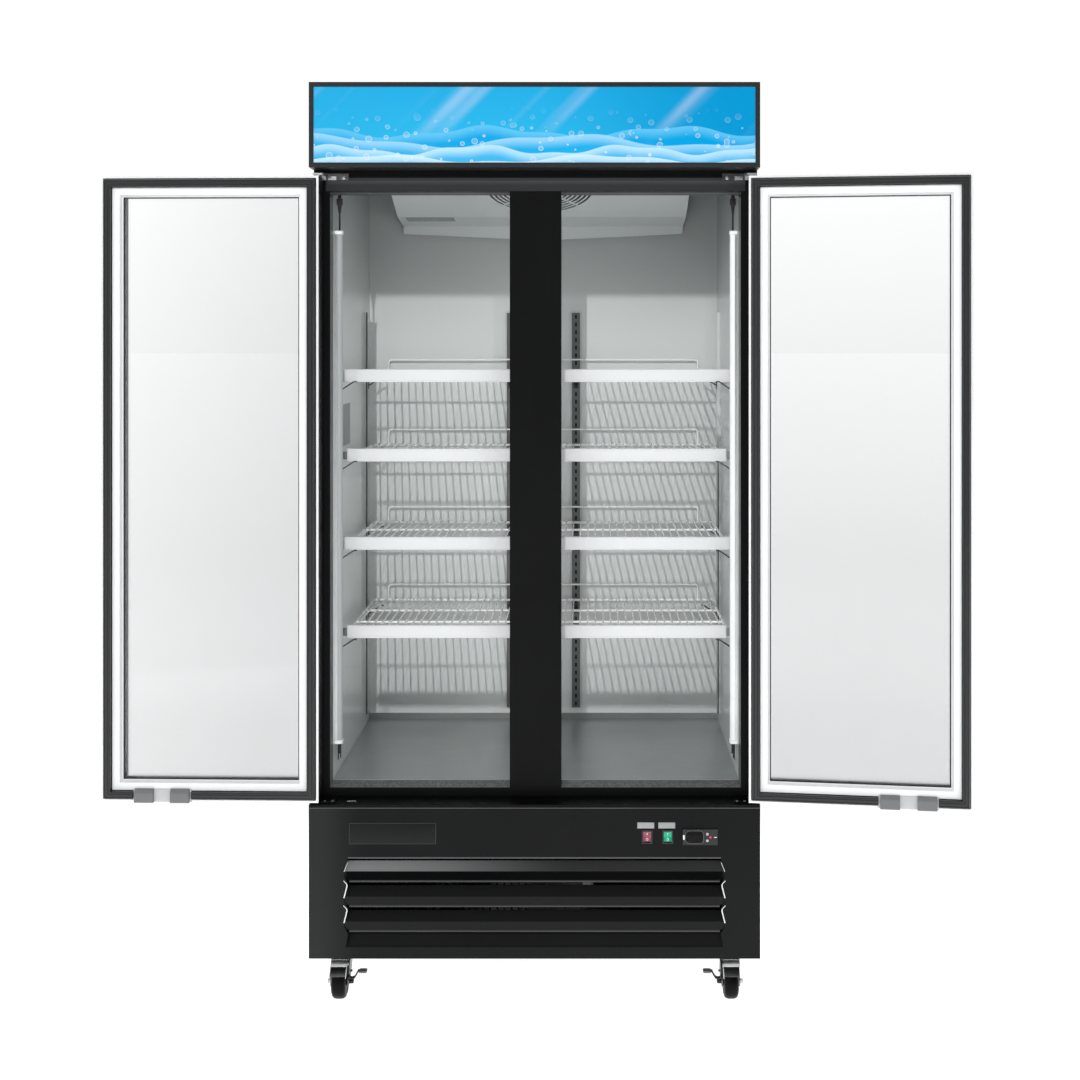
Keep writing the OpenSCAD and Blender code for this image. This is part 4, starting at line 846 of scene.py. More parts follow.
black_rubber = coat("black_rubber", (0.012, 0.012, 0.012), (0.02, 0.02, 0.02), rough=0.55, peel=0.25,
                    scale=1800.0, gloss=0.4)
lamp_tube = Finish("lamp_tube", Roughness=0.3)
tone = lamp_tube.group(tone_group)["Tone"]
lamp_tube.into(Base_Color=lamp_tube.mix(tone, (0.85, 0.86, 0.85), (0.92, 0.92, 0.9)))
dress(coil_black_and_shade, "finned_coils")
dress(zinc, "screws")
dress(pan_steel, "base_pan")
dress(copper, "refrigerant_lines")
dress(motor_paint, "fan_motors")
dress(gloss_black, "compressor")
dress(fan_plastic, "evaporator_fan", "condenser_fan", "evaporation_pan")
dress(foam, "insulation")
dress(black_rubber, "cord_gland", "led_cables")
dress(lamp_tube.material, "header_lamps")
print("machine parts dressed")

# %% [markdown]
# ## The header's print
# The light box carries a printed sheet. It gets a design of its own in cool blues: a clear gradient, soft
# slanting beams, broad wave crests along the lower edge and pale bubbles that rise from them. All of it is
# drawn by nodes in the panel's own coordinates, which run from 0 to 1 across and up. First come the gradient
# and the beams, which are noise stretched along a slant.

# %% Print: ground and beams
print_low, print_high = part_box("sign_panel")
PRINT_BLUE, PRINT_PALE, PRINT_WHITE = (0.010, 0.285, 0.53), (0.016, 0.33, 0.56), (0.54, 0.60, 0.68)
sign = Finish("header_print", Roughness=0.16, Specular_IOR_Level=0.15, Coat_Weight=0.1, Coat_Roughness=0.05,
              Emission_Strength=0.1)
axes = sign.axes()
across = sign.span(axes["X"], print_low.x, print_high.x, 0.0, 1.0, "LINEAR")
up = sign.span(axes["Z"], print_low.z, print_high.z, 0.0, 1.0, "LINEAR")
colour = sign.mix(sign.span(up, 0.15, 1.0), PRINT_PALE, PRINT_BLUE)
off_middle = sign.math("ABSOLUTE", sign.minus(across, 0.5))
colour = sign.mix(sign.times(sign.span(off_middle, 0.25, 0.5), 0.35), colour, PRINT_BLUE)
colour = sign.mix(sign.span(across, 0.45, 0.95, 0.0, 0.9), colour, (0.0, 0.205, 0.43))
slant = sign.node("CombineXYZ", X=sign.plus(sign.times(across, 5.0), sign.times(up, -0.9)))["Vector"]
streaks = sign.node("TexNoise", Vector=slant, Scale=1.6, Detail=2.0)["Fac"]
beams = sign.times(sign.span(streaks, 0.5, 0.78), sign.span(up, 0.25, 0.8, 0.15, 0.5))
colour = sign.mix(beams, colour, PRINT_WHITE)
print_size = (print_high - print_low) / MM
print("print is", round(print_size.x), "by", round(print_size.z), "mm")

# %% [markdown]
# Four rows of waves lie in front of one another. Each crest is a slow sine with a quicker one on it, and
# below the crest the colour runs from light to dark.

# %% Print: waves


def crest(shift, count, height, swing):
    """The height of one row of waves at this place of the print."""
    turn = sign.times(sign.plus(across, shift), count)
    quick = sign.times(sign.math("SINE", sign.times(turn, 2.63)), 0.35)
    return sign.plus(height, sign.times(sign.plus(sign.math("SINE", turn), quick), swing))


for shift, count, height, swing, light, dark in (
        (0.13, 15.0, 0.42, 0.060, (0.09, 0.39, 0.62), (0.0, 0.26, 0.54)),
        (0.71, 11.0, 0.31, 0.070, (0.25, 0.49, 0.66), (0.01, 0.30, 0.57)),
        (0.37, 19.0, 0.20, 0.050, (0.38, 0.57, 0.69), (0.04, 0.34, 0.59)),
        (0.93, 13.0, 0.09, 0.045, (0.45, 0.60, 0.70), (0.10, 0.39, 0.61))):
    depth = sign.minus(crest(shift, count, height, swing), up)
    inside = sign.times(sign.span(depth, 0.0, 0.008), 0.85)
    colour = sign.mix(inside, colour, sign.mix(sign.span(depth, 0.0, 0.16), light, dark))
print("waves drawn")

# %% [markdown]
# Bubbles are the cells of a Voronoi pattern. The cell's own random colour gives each bubble its size, and a
# narrow span round that distance draws its bright rim.

# %% Print: bubbles
cells = sign.node("CombineXYZ", X=sign.times(across, 46.0), Y=sign.times(up, 9.0))["Vector"]
bubbles = sign.node("TexVoronoi", Vector=cells, Scale=1.0, Randomness=1.0)
radius = sign.times(sign.node("SeparateColor", bubbles["Color"])["Red"], 0.34)
rim = sign.math("ABSOLUTE", sign.minus(bubbles["Distance"], radius))
shine = sign.times(sign.span(rim, 0.06, 0.0), sign.span(up, 0.75, 0.15, 0.0, 0.75))
fill = sign.times(sign.span(sign.minus(radius, bubbles["Distance"]), 0.0, 0.1), 0.18)
colour = sign.mix(sign.times(fill, sign.span(up, 0.8, 0.2)), colour, PRINT_WHITE)
colour = sign.mix(shine, colour, PRINT_WHITE)
sign.into(Base_Color=colour, Emission_Color=colour)
dress(sign.material, "sign_panel")
print("print drawn by", len(sign.tree.nodes), "nodes")

# %% [markdown]
# ## Wire shelves
# A shelf is welded from coated wire: a frame, two cross wires, a row of thin wires from front to back, and a
# bent wire at the back that stops the bottles. Blender's curves could draw them, but they would need one
# object a wire. Tubes in one mesh are lighter, and the same mesh serves all four levels.

# %% Shelf wires
SHELF_LEVELS = [820.0, 1024.0, 1228.0, 1411.6]
FRAME_R, ROD_R, STOP_R = 3.2, 1.9, 2.2
STRIP_DEEP, STRIP_GAP = 8.0, 0.3
WIRE_LEVEL = -23.2
ROD_STEP, ROD_STEPS = 18.5, 22
shelf_low, shelf_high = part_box("shelf_right_1")
x0, x1 = shelf_low.x / MM + FRAME_R, shelf_high.x / MM - FRAME_R
y0, y1 = shelf_low.y / MM + STRIP_DEEP + STRIP_GAP + FRAME_R, shelf_high.y / MM - FRAME_R


def shelf_wires(side):
    z = WIRE_LEVEL
    loop = soft_outline([(x0, y0), (x1, y0), (x1, y1), (x0, y1)], 7, 4)
    path = [Vector((side * x, y, z)) for x, y in loop]
    middle = (path[0] + path[-1]) / 2
    shape = Shape().tube([middle] + path + [middle], FRAME_R, 14)
    for share in (0.34, 0.67):
        y = y0 + share * (y1 - y0)
        shape.tube([(side * x0, y, z - 0.3), (side * x1, y, z - 0.3)], FRAME_R - 0.4, 12)
    first = (x0 + x1 - ROD_STEPS * ROD_STEP) / 2
    for k in range(ROD_STEPS + 1):
        x = side * (first + k * ROD_STEP)
        shape.tube([(x, y0 - 1.3, z + 2.8), (x, y1 + 1.3, z + 2.8)], ROD_R, 10)
    foot, top, back = z + 0.6, 20 - STOP_R, y1 - 0.6
    a, b = side * (x0 + 18), side * (x1 - 38)
    stop = bent([(a, back, foot), (a, back, top), (b, back, top), (b, back, foot)], 9)
    return shape.tube(stop, STOP_R, 12)


print("shelf wires reach from", round(x0), "to", round(x1), "mm")

# %% [markdown]
# The price strip is an extrusion with a lip above and below its label channel. On every other shelf it is
# 10 mm shorter, and the grey hook that holds its end can be seen.

# %% Price strips
SHORT_REACH, LONG_REACH = 438.0, 448.0
STRIP_START = 9.0
STRIP_BACK = y0 - FRAME_R - STRIP_GAP


def price_strip(side, reach):
    """Seen from its end: a tall channel that hooks over the front wire. It ends at `reach`, near the wall."""
    back, z = STRIP_BACK, WIRE_LEVEL
    front = back - STRIP_DEEP
    end = [(back, z - 3), (back - 2, z - 3.6), (front + 1.0, -30), (front, -29), (front, -26.5),
           (front + 1.4, -25.8), (front + 1.4, -4.4), (front, -3.6), (front, -1.2), (front + 1.6, 0),
           (back + 4, 0), (back + 4, z + 8), (back + 2.9, z + 8), (back + 2.9, -1.6), (back, -2.4)]
    ticket = [(front + 0.5, -26.2), (front + 1.1, -26.2), (front + 1.1, -4.0), (front + 0.5, -4.0)]
    shape = Shape().prism(soft_outline(end, 0.5, 2), *sorted((side * STRIP_START, side * reach)))
    return shape.prism(ticket, *sorted((side * (STRIP_START + 2), side * (reach - 2))))


enamel = coat("white_enamel", (0.97, 0.975, 0.97), (0.95, 0.955, 0.95), rough=0.26, peel=0.05, scale=700.0,
              radius=0.0006, dust=0.0, gloss=0.5)
strip_plastic = coat("strip_plastic", (0.655, 0.67, 0.675), (0.635, 0.65, 0.655), rough=0.32, peel=0.02,
                     dust=0.0, gloss=0.5, radius=0.0008)
hook_grey = coat("strip_hook_grey", (0.24, 0.25, 0.25), (0.18, 0.19, 0.19), rough=0.4, peel=0.05, dust=0.0)
for side, word in SIDES:
    wires = shelf_wires(side).mesh("shelf_wires_" + word, 50)
    short = price_strip(side, SHORT_REACH).mesh(f"price_strip_{word}_short", 30)
    long = price_strip(side, LONG_REACH).mesh(f"price_strip_{word}_long", 30)
    near, far = sorted((side * (SHORT_REACH + 0.4), side * LONG_REACH))
    hook_block = Shape().block((near, STRIP_BACK - 4.2, -25), (far, STRIP_BACK + 0.1, -7))
    hook = hook_block.mesh("strip_hook_" + word)
    for level, height in enumerate(SHELF_LEVELS, 1):
        body = f"shelf_{word}_{level}"
        slot = f"shelf_white_{word}_{level}"
        strip = short if level % 2 else long
        place_piece(body + "_wires", wires, body, enamel, replaced=body, height=height)
        place_piece(body + "_strip", strip, body, strip_plastic, replaced=body, height=height)
        if level % 2:
            place_piece(body + "_strip_hook", hook, body, hook_grey, height=height)
print("price strips reach to", SHORT_REACH, "and", LONG_REACH, "mm")

# %% [markdown]
# ## Pilasters and clips
# The slotted uprights are rolled from galvanised strip, with dark strips behind their slots, painted shade
# for the inside of the channel. A clip is a strip of dark steel: a plate that hooks into the upright, and an
# arm that rises to carry the wires. A bare label is stuck on the left wall.

# %% Uprights and the painted shade behind their slots
BACK_UPRIGHT_X, MULLION_UPRIGHT_X = 86, 34
SHADE_LOW, SHADE_HIGH, SHADE_HALF = 516.0, 1548.0, 7
upright_low, upright_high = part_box("pilasters")
SIDE_UPRIGHTS_Y = (upright_low.y / MM + 10.5, 221.0)


def upright_tone_and_painted_highlight(finish, colour):
    """The back uprights are darker, the side ones brighter with a dark seam along the fold. The right one has
    a painted highlight where the shelves stand closest."""
    axes = finish.axes()
    away = finish.math("ABSOLUTE", axes["X"])
    colour = finish.mix(finish.math("LESS_THAN", away, 0.2), colour, (0.17, 0.175, 0.175))
    colour = finish.mix(finish.band(away, 0.4532, 0.4562, 0.0004), colour, (0.03, 0.03, 0.031))
    bright = finish.times(finish.span(axes["X"], 0.4505, 0.4512), finish.span(axes["Z"], 1.12, 1.30))
    return finish.mix(bright, colour, (0.93, 0.94, 0.94))


pilaster_metal = metal("pilaster_metal", (0.62, 0.63, 0.63), (0.54, 0.55, 0.55), 0.4, (700, 700, 8), 0.15,
                       0.0005, whole=0.5, shade=upright_tone_and_painted_highlight)
dress(pilaster_metal, "pilasters")
# Painted shade: dark strips behind the slots stand for the inside of the channel.
slot_painted_shade = coat("slot_tape", (0.02, 0.02, 0.021), (0.012, 0.012, 0.013), rough=0.7, peel=0.3, dust=0.0,
                 gloss=0.2)
slot_shades = Shape()
side_face = upright_high.x / MM - 8 + 2.4
for side, _ in SIDES:
    x = side * BACK_UPRIGHT_X
    slot_shades.block((x - SHADE_HALF, 286.4, SHADE_LOW), (x + SHADE_HALF, 287.2, SHADE_HIGH), 0.2, 1)
    near, far = sorted((side * side_face, side * (side_face + 0.8)))
    for y in SIDE_UPRIGHTS_Y:
        slot_shades.block((near, y - SHADE_HALF, SHADE_LOW), (far, y + SHADE_HALF, SHADE_HIGH), 0.2, 1)
place_piece("pilaster_slot_shade", slot_shades, "cabinet", slot_painted_shade)
print("uprights from y", round(upright_low.y / MM, 1), "to", round(upright_high.y / MM, 1))

# %% Clips and wall label
CLIP_HALF = 5.5
SIDE_FACE, BACK_FACE, MULLION_FACE = 452.2, 276.2, -230.2
plate_end = [(-0.6, -58), (1.4, -58), (1.4, -30), (-0.6, -30)]
arm_end = [(1.0, -50.2), (8, -46.6), (34, -29.2), (40, -29.2), (40, -26.9), (33, -26.9), (7, -44.0),
           (1.0, -47.2)]
clips = Shape()
for top in SHELF_LEVELS:
    for end in (plate_end, arm_end):
        for side, _ in SIDES:
            for y in SIDE_UPRIGHTS_Y:
                outline = [(side * (SIDE_FACE - d), top + z) for d, z in end]
                clips.prism(outline, y - CLIP_HALF, y + CLIP_HALF, "y", 0.2)
            for x, outline in ((side * BACK_UPRIGHT_X, [(BACK_FACE - d, top + z) for d, z in end]),
                               (side * MULLION_UPRIGHT_X, [(MULLION_FACE + d, top + z) for d, z in end])):
                clips.prism(outline, x - CLIP_HALF, x + CLIP_HALF, "x", 0.2)
clip_metal = metal("clip_metal", (0.11, 0.11, 0.115), (0.07, 0.07, 0.075), 0.4, (200, 200, 200), 0.1, 0.0005)
place_piece("shelf_clip_arms", clips, "cabinet", clip_metal, replaced="shelf_clips")
note = Shape().block((-460.2, -160, 1229), (-459.5, -28, 1327), 0.2, 1)
wall_label = coat("wall_label", (0.33, 0.34, 0.345), (0.29, 0.3, 0.305), rough=0.45, peel=0.04, dust=0.0)
place_piece("wall_label", note, "cabinet", wall_label)
print("clips on", len(SHELF_LEVELS), "levels")

# %% [markdown]
# ## LED bars
# Each bar is an aluminium channel with a milky half-round diffuser and two white end caps. The diffuser is
# off, so it only has the faintest painted glow of its own. The left bar is painted darker, as painted shade.

# %% LED bars
bar_low, bar_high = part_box("led_bars")
BAR_WALL, BAR_LOW, BAR_HIGH, BAR_Y = bar_high.x / MM, bar_low.z / MM, bar_high.z / MM, -238.0
CAP_TALL = 8
diffuser = Finish("led_diffuser", Roughness=0.35, Emission_Strength=0.24)
tone = diffuser.group(tone_group, Scale=30.0)["Tone"]
glow = diffuser.mix(tone, (0.66, 0.69, 0.69), (0.71, 0.735, 0.735))
# Painted shade: the left bar's colour and glow are darker.
on_left = diffuser.math("LESS_THAN", diffuser.axes()["X"], 0.0)
glow = diffuser.mix(on_left, glow, (0.30, 0.32, 0.32))
diffuser.into(Base_Color=glow, Emission_Color=glow)
cap_plastic = coat("cap_plastic", (0.86, 0.87, 0.87), (0.8, 0.81, 0.81), rough=0.35, peel=0.04, dust=0.0,
                   gloss=0.5)
channel_metal = metal("channel_alloy", (0.8, 0.81, 0.82), (0.7, 0.71, 0.72), 0.28, (900, 900, 6), 0.1)


def bar_part(outline, side, low, high):
    """An outline of (distance from the wall, distance from the bar's middle), drawn out upwards."""
    return Shape().prism([(side * (BAR_WALL - d), BAR_Y + e) for d, e in outline], low, high, "z")


arc = [math.radians(-84 + 14 * k) for k in range(13)]
half_round = [(5, -10.5)] + [(6 + 11 * math.cos(a), 10.5 * math.sin(a)) for a in arc] + [(5, 10.5)]
channel = [(0, -12), (6.6, -12), (6.6, -10.8), (2, -10.8), (2, 10.8), (6.6, 10.8), (6.6, 12), (0, 12)]
cap = [(0, -12.6), (12, -12.6), (18, -7), (18.5, 0), (18, 7), (12, 12.6), (0, 12.6)]
for side, word in SIDES:
    lens = bar_part(half_round, side, BAR_LOW + 7, BAR_HIGH - 7)
    tray = bar_part(channel, side, BAR_LOW + 6, BAR_HIGH - 6)
    caps = Shape()
    for z in (BAR_LOW, BAR_HIGH - CAP_TALL):
        outline = [(side * (BAR_WALL - d), BAR_Y + e) for d, e in cap]
        caps.prism(soft_outline(outline, 2.5, 3), z, z + CAP_TALL, "z")
    for part, shape, finish in (("lens", lens, diffuser.material), ("channel", tray, channel_metal),
                                ("caps", caps, cap_plastic)):
        place_piece(f"led_{word}_{part}", shape, "cabinet", finish, replaced="led_bars")
print("LED bars", round(BAR_HIGH - BAR_LOW), "mm long")

# %% [markdown]
# ## Hinges
# The hinge plates are plated steel, polished to a grey shine with faint lines. The upper ones have a painted
# highlight beside the pin and are brighter towards their outer ends, and the lower ones are painted black.
# Forks and caster plates have the same plate, rougher.

# %% Hinge and fork metal
fork_metal = metal("fork_metal", (0.30, 0.305, 0.31), (0.18, 0.184, 0.188), 0.3, (30, 30, 900), 0.03, 0.0012)
dress(fork_metal, "caster_mounts", "front_left_fork", "front_right_fork")
hinge_metal = Finish("hinge_metal", Metallic=0.9)
tone = hinge_metal.group(tone_group, Scale=60.0)
brush = hinge_metal.group(brush_group, Stretch=(900, 40, 40), Strength=0.02, Radius=0.0012)
axes = hinge_metal.axes()
away = hinge_metal.math("ABSOLUTE", axes["X"])
polished = hinge_metal.mix(tone["Tone"], (0.13, 0.132, 0.135), (0.2, 0.203, 0.207))
# Painted highlights: a bright spot beside the upper pins, and brighter outer ends.
painted_glint = hinge_metal.times(hinge_metal.band(away, 0.449, 0.4665, 0.0015),
                              hinge_metal.band(axes["Z"], 1.8392, 1.8475, 0.001))
polished = hinge_metal.mix(painted_glint, polished, (0.93, 0.93, 0.93))
polished = hinge_metal.mix(hinge_metal.span(away, 0.4715, 0.4735), polished, (0.85, 0.86, 0.86))
lower_hinge = hinge_metal.math("LESS_THAN", axes["Z"], 1.0)
hinge_metal.into(Base_Color=hinge_metal.mix(lower_hinge, polished, (0.02, 0.02, 0.021)),
                 Roughness=hinge_metal.span(tone["Smudge"], 0.0, 1.0, 0.24, 0.34, "LINEAR"),
                 Normal=brush["Normal"])
dress(hinge_metal.material, "hinge_plates")
print("hinges dressed")

# %% [markdown]
# Screws hold the hinges. The heads on the bottom plates are flush, because the shut doors stand close over
# them. A small hexagon head shows at each top plate, and a bright tab lies on the base's upper edge at the
# left. The bright flush heads and the tab sit where those edges glint, as painted highlights.

# %% Screw heads
BOTTOM_PLATE_Z, SCREW_Y = 452.4, -333
flush_head = [(0, 0.45), (2.6, 0.45), (3.1, 0.1), (3.1, 0), (0, 0)]
hexagon_head = [(0, 1.2), (1.4, 1.2), (1.7, 2.0), (3.4, 1.6), (4.3, 0.5), (4.3, 0), (0, 0)]
heads_and_glints = Shape()
# The flush heads on the bottom plates sit where the plates' front edges glint, as painted highlights.
for side, _ in SIDES:
    heads_and_glints.turned(hexagon_head, 6, Matrix.Translation((side * 432, -291, 1843.4)) @ turn_about("X", 90))
    for x in (450, 467, 491):
        heads_and_glints.turned(flush_head, 20, Matrix.Translation((side * x, SCREW_Y, BOTTOM_PLATE_Z)))
# Painted highlight: a bright tab where the base's upper edge glints.
heads_and_glints.block((-419, -326, 449), (-399, -320.5, 449.9), 0.3)
bright_plate = metal("bright_plate", (0.86, 0.87, 0.88), (0.80, 0.81, 0.82), 0.17, (30, 30, 900), 0.012,
                     whole=0.8)
place_piece("screw_heads_and_glints", heads_and_glints, "cabinet", bright_plate)
print("screw heads placed")

# %% [markdown]
# ## The doors
# Both doors are alike and mirrored, so each piece is drawn once, lying in the closed door's own frame: x runs
# from the hinge axis to the free edge, y from the outside to the cabinet. Then a matrix hangs it on its
# hinge at the angle at which the photograph shows it. The joint's range tells us that angle.

# %% Hanging a door
DOOR_LOW, DOOR_HIGH = (-5.0, 453.0), (481.0, 1842.5)
joint_of = {joint["child"]: joint for joint in frame["joints"]}
door_matrix = {}
for side, word in SIDES:
    joint = joint_of[word + "_door"]
    pivot = Vector(joint["pos_m"]) / MM
    opened = joint["range_deg"][1]
    mirror = Matrix.Scale(-1, 4, Vector((1, 0, 0))) if side > 0 else Matrix.Identity(4)
    hinge = Matrix.Translation((pivot.x, pivot.y, 0)) @ turn_about("Z", side * opened)
    door_matrix[word] = hinge @ mirror
    print(word, "door opened by", round(opened, 1), "degrees")


def door_piece(part, shape, finish, replaced=None, angle=35):
    """Hang one shape on both doors."""
    for word, matrix in door_matrix.items():
        node = f"{word}_{replaced}" if replaced else None
        place_piece(f"{word}_door_{part}", shape.moved(matrix), word + "_door", finish,
                    replaced=node, angle=angle)


# %% [markdown]
# The alloy frame keeps its CAD shape with the finger groove. Its finish is bright anodised aluminium with the
# fine lines of extrusion, with painted shade in black at the hinge edge, on the faces that look into the gap.

# %% Door alloy


def hinge_edge_painted_shade(finish, colour):
    """Painted shade: black on the faces that look at the cabinet's middle, behind the bright rim."""
    facing = finish.node("SeparateXYZ", finish.node("TexCoord")["Normal"])["X"]
    axes = finish.axes()
    inward = finish.math("LESS_THAN", finish.times(axes["X"], facing), -0.2)
    painted = finish.times(inward, finish.span(axes["Y"], -0.347, -0.345))
    return finish.mix(painted, colour, (0.006, 0.006, 0.0065))


door_alloy = metal("door_alloy", (0.93, 0.935, 0.94), (0.88, 0.885, 0.89), 0.3, (500, 500, 500), 0.02, 0.001,
                   whole=0.35, shade=hinge_edge_painted_shade)
dress(door_alloy, "left_door_frame", "right_door_frame")
print("door frames dressed")

# %% [markdown]
# The gasket is a soft extrusion with a foot, folds at its sides and a magnet chamber on top. The inner frame
# is white plastic that steps down to the glass, and a black bead closes the joint. All three are profiles
# swept round the door, cut at 45 degrees in the corners as the real ones are. The gasket leaves a gap for the
# bumper plate.

# %% Gasket, inner frame and bead
gasket_profile = [(5.6, 17), (24.6, 17), (24.6, 20.6), (22.6, 22.4), (24.2, 24.6), (24.2, 26.6), (22.8, 28.4),
                  (24.4, 30.4), (24.4, 35.2), (23.0, 36.5), (21.0, 36.5), (20.3, 35.4), (19.3, 35.4),
                  (18.6, 36.5), (13.6, 36.5), (12.9, 35.4), (11.9, 35.4), (11.2, 36.5), (10.0, 36.5),
                  (9.0, 35.2), (8.0, 30.4), (8.6, 28.4), (6.7, 26.6), (6.5, 24.6), (7.9, 22.4), (5.6, 20.6)]
inner_profile = [(25.1, 7.2), (25.1, 24.2), (26.0, 25.0), (40.2, 25.0), (42.0, 23.6), (44.2, 13.5),
                 (46.0, 12.4), (46.0, 7.4), (44.5, 7.0)]
bead_profile = [(45.6, 7.05), (48.6, 7.05), (48.4, 8.6), (47.2, 9.6), (45.6, 9.8)]
gasket = Shape().ring(soft_outline(gasket_profile, 0.8, 2), DOOR_LOW, DOOR_HIGH, gap=(276.6, 407.4))
inner = Shape().ring(soft_outline(inner_profile, 0.7, 2), DOOR_LOW, DOOR_HIGH)
bead = Shape().ring(soft_outline(bead_profile, 0.5, 2), DOOR_LOW, DOOR_HIGH)
gasket_rubber = coat("gasket_rubber", (0.014, 0.0145, 0.0155), (0.018, 0.0185, 0.0195), rough=0.4, peel=0.1,
                     scale=1500.0, radius=0.0004, dust=0.03, gloss=0.5)
inner_plastic = coat("inner_plastic", (0.80, 0.815, 0.82), (0.75, 0.765, 0.77), rough=0.36, peel=0.04,
                     dust=0.0, gloss=0.5)
door_piece("gasket", gasket, gasket_rubber, "gasket", 28)
door_piece("inner_frame", inner, inner_plastic, "inner_frame", 28)
door_piece("glazing_bead", bead, gasket_rubber, None, 28)
print("gasket profile has", len(gasket_profile), "corners")

# %% [markdown]
# Display doors have two panes with a spacer between them. Each pane is a real slab, so light bends twice in
# each. A pane that is only a coloured film would look flat at the sides. The panes' colour is painted darker
# towards the lower outer corner, as painted shade, under a faint uneven tone.

# %% Glazing
GLASS_LOW, GLASS_HIGH = (29.0, 487.0), (447.0, 1808.5)
PANE_THICK, PANE_DEPTHS = 4, (-15.0, 3.0)
panes = Shape()
for y in PANE_DEPTHS:
    panes.block((GLASS_LOW[0], y, GLASS_LOW[1]), (GLASS_HIGH[0], y + PANE_THICK, GLASS_HIGH[1]), 0.5, 1)
spacer_profile = [(34.2, -10.8), (41.6, -10.8), (42.2, -9.0), (42.2, 1.0), (41.6, 2.8), (34.2, 2.8)]
spacer = Shape().ring(soft_outline(spacer_profile, 0.5, 2), DOOR_LOW, DOOR_HIGH)

glass = Finish("door_glass", Roughness=0.0, Transmission_Weight=1.0, IOR=1.42)
film = glass.group(tone_group, Scale=1.2, Dust=0.0)["Tone"]
axes = glass.axes()
# Painted shade: darker towards the bottom, and on the left door towards its outer side.
on_left = glass.math("LESS_THAN", axes["X"], 0.0)
outwards = glass.times(glass.span(axes["X"], -0.95, -0.50, 0.0, 0.40, "LINEAR"), on_left)
downwards = glass.times(glass.span(axes["Z"], 1.80, 0.62, 0.0, 1.0, "LINEAR"),
                        glass.minus(1.0, glass.times(on_left, 0.32)))
shade_and_film = glass.plus(glass.plus(outwards, downwards), glass.times(film, 0.03))
glass.into(Base_Color=glass.mix(shade_and_film, (0.985, 0.99, 0.99), (0.79, 0.797, 0.80)))
spacer_metal = metal("spacer_alloy", (0.5, 0.51, 0.52), (0.42, 0.43, 0.44), 0.35, (40, 40, 900), 0.1)
door_piece("panes", panes, glass.material, "glass", 30)
door_piece("glass_spacer", spacer, spacer_metal, None, 30)
print("panes", round(GLASS_HIGH[0] - GLASS_LOW[0]), "mm wide")

# %% [markdown]
# On the lower edge, near the free side, a pale plate carries two grey pads that the door rests on when it is
# shut.

# %% Door bumpers
PAD_WIDE = 42
pad_end = [(27.9, 453.4), (36.6, 453.4), (36.6, 474.8), (35.5, 476.5), (30.5, 483.6), (27.9, 483.9)]
plate = Shape().block((277, 25, 453.5), (407, 28, 482), 0.8)
plate.block((277.3, 17.2, 458.2), (406.7, 25.2, 471), 0.5)
pads = Shape()
for x in (281, 361):
    pads.prism(soft_outline(pad_end, 1.2, 3), x, x + PAD_WIDE)
plate_plastic = coat("bumper_plate", (0.46, 0.47, 0.48), (0.41, 0.42, 0.43), rough=0.35, peel=0.05, gloss=0.5)
pad_plastic = coat("pad_plastic", (0.155, 0.162, 0.166), (0.12, 0.125, 0.129), rough=0.4, gloss=0.5)
door_piece("bumper_plate", plate, plate_plastic, "bumper")
door_piece("bumper_pads", pads, pad_plastic, "bumper")
print("bumpers on both doors")

# %% [markdown]
# ## The controls
# Two rocker switches and a small temperature controller sit in the base. The rockers are translucent
# coloured plastic with raised marks for on and off. Each is drawn level and then tilted, as it rests.

# %% Rockers
CONTROL_Z = 378.0
ROCKER_HALF = 8.7
control_black = coat("control_black", (0.012, 0.012, 0.013), (0.009, 0.009, 0.01), rough=0.3, peel=0.05,
                     gloss=0.5)
mark_paint = coat("mark_paint", (0.8, 0.8, 0.8), (0.7, 0.7, 0.7), rough=0.4, dust=0.0)
dress(control_black, "control_housings")


def lamp_plastic(name, colour, glow):
    """Clear coloured plastic with a little light behind it."""
    finish = Finish(name, Roughness=0.18, Coat_Weight=0.5, Coat_Roughness=0.05, Emission_Strength=glow)
    tone = finish.group(tone_group, Scale=120.0)["Tone"]
    mixed = finish.mix(tone, colour, tuple(c * 0.6 for c in colour))
    finish.into(Base_Color=mixed, Emission_Color=mixed)
    return finish.material


rocker_end = [(-9, 10.4), (-7.5, 3), (-7.3, 0), (-7.5, -3), (-9, -10.4), (-2, -10.4), (4, -5), (4, 5),
              (-2, 10.4)]
key = Shape().prism(soft_outline(rocker_end, 0.8, 3), -ROCKER_HALF, ROCKER_HALF)
round_mark = [(2.0 * math.cos(a), -8.3, -5.8 + 2.4 * math.sin(a)) for a in turns(24) + [math.tau]]
marks = Shape().block((-0.6, -8.55, 3.6), (0.6, -7.6, 7.8), 0.15).tube(round_mark, 0.45, 8)
for word, slot, x, colour, glow in (("power", "rocker_red", 249.5, (0.27, 0.055, 0.095), 0.18),
                                    ("light", "rocker_green", 295.0, (0.0, 0.33, 0.17), 0.3)):
    body = word + "_rocker"
    hinge = Matrix.Translation((x, FRONT + 6, CONTROL_Z)) @ turn_about("X", -8)
    place_piece(body + "_key", key.moved(hinge), body, lamp_plastic(word + "_lens", colour, glow),
                replaced=body)
    place_piece(body + "_marks", marks.moved(hinge), body, mark_paint)
print("rockers placed")

# %% [markdown]
# The controller's face: a dark lens with a grey rim that is round at its left end, a small clip, a red point
# of light and a short white dash beside the two round keys.

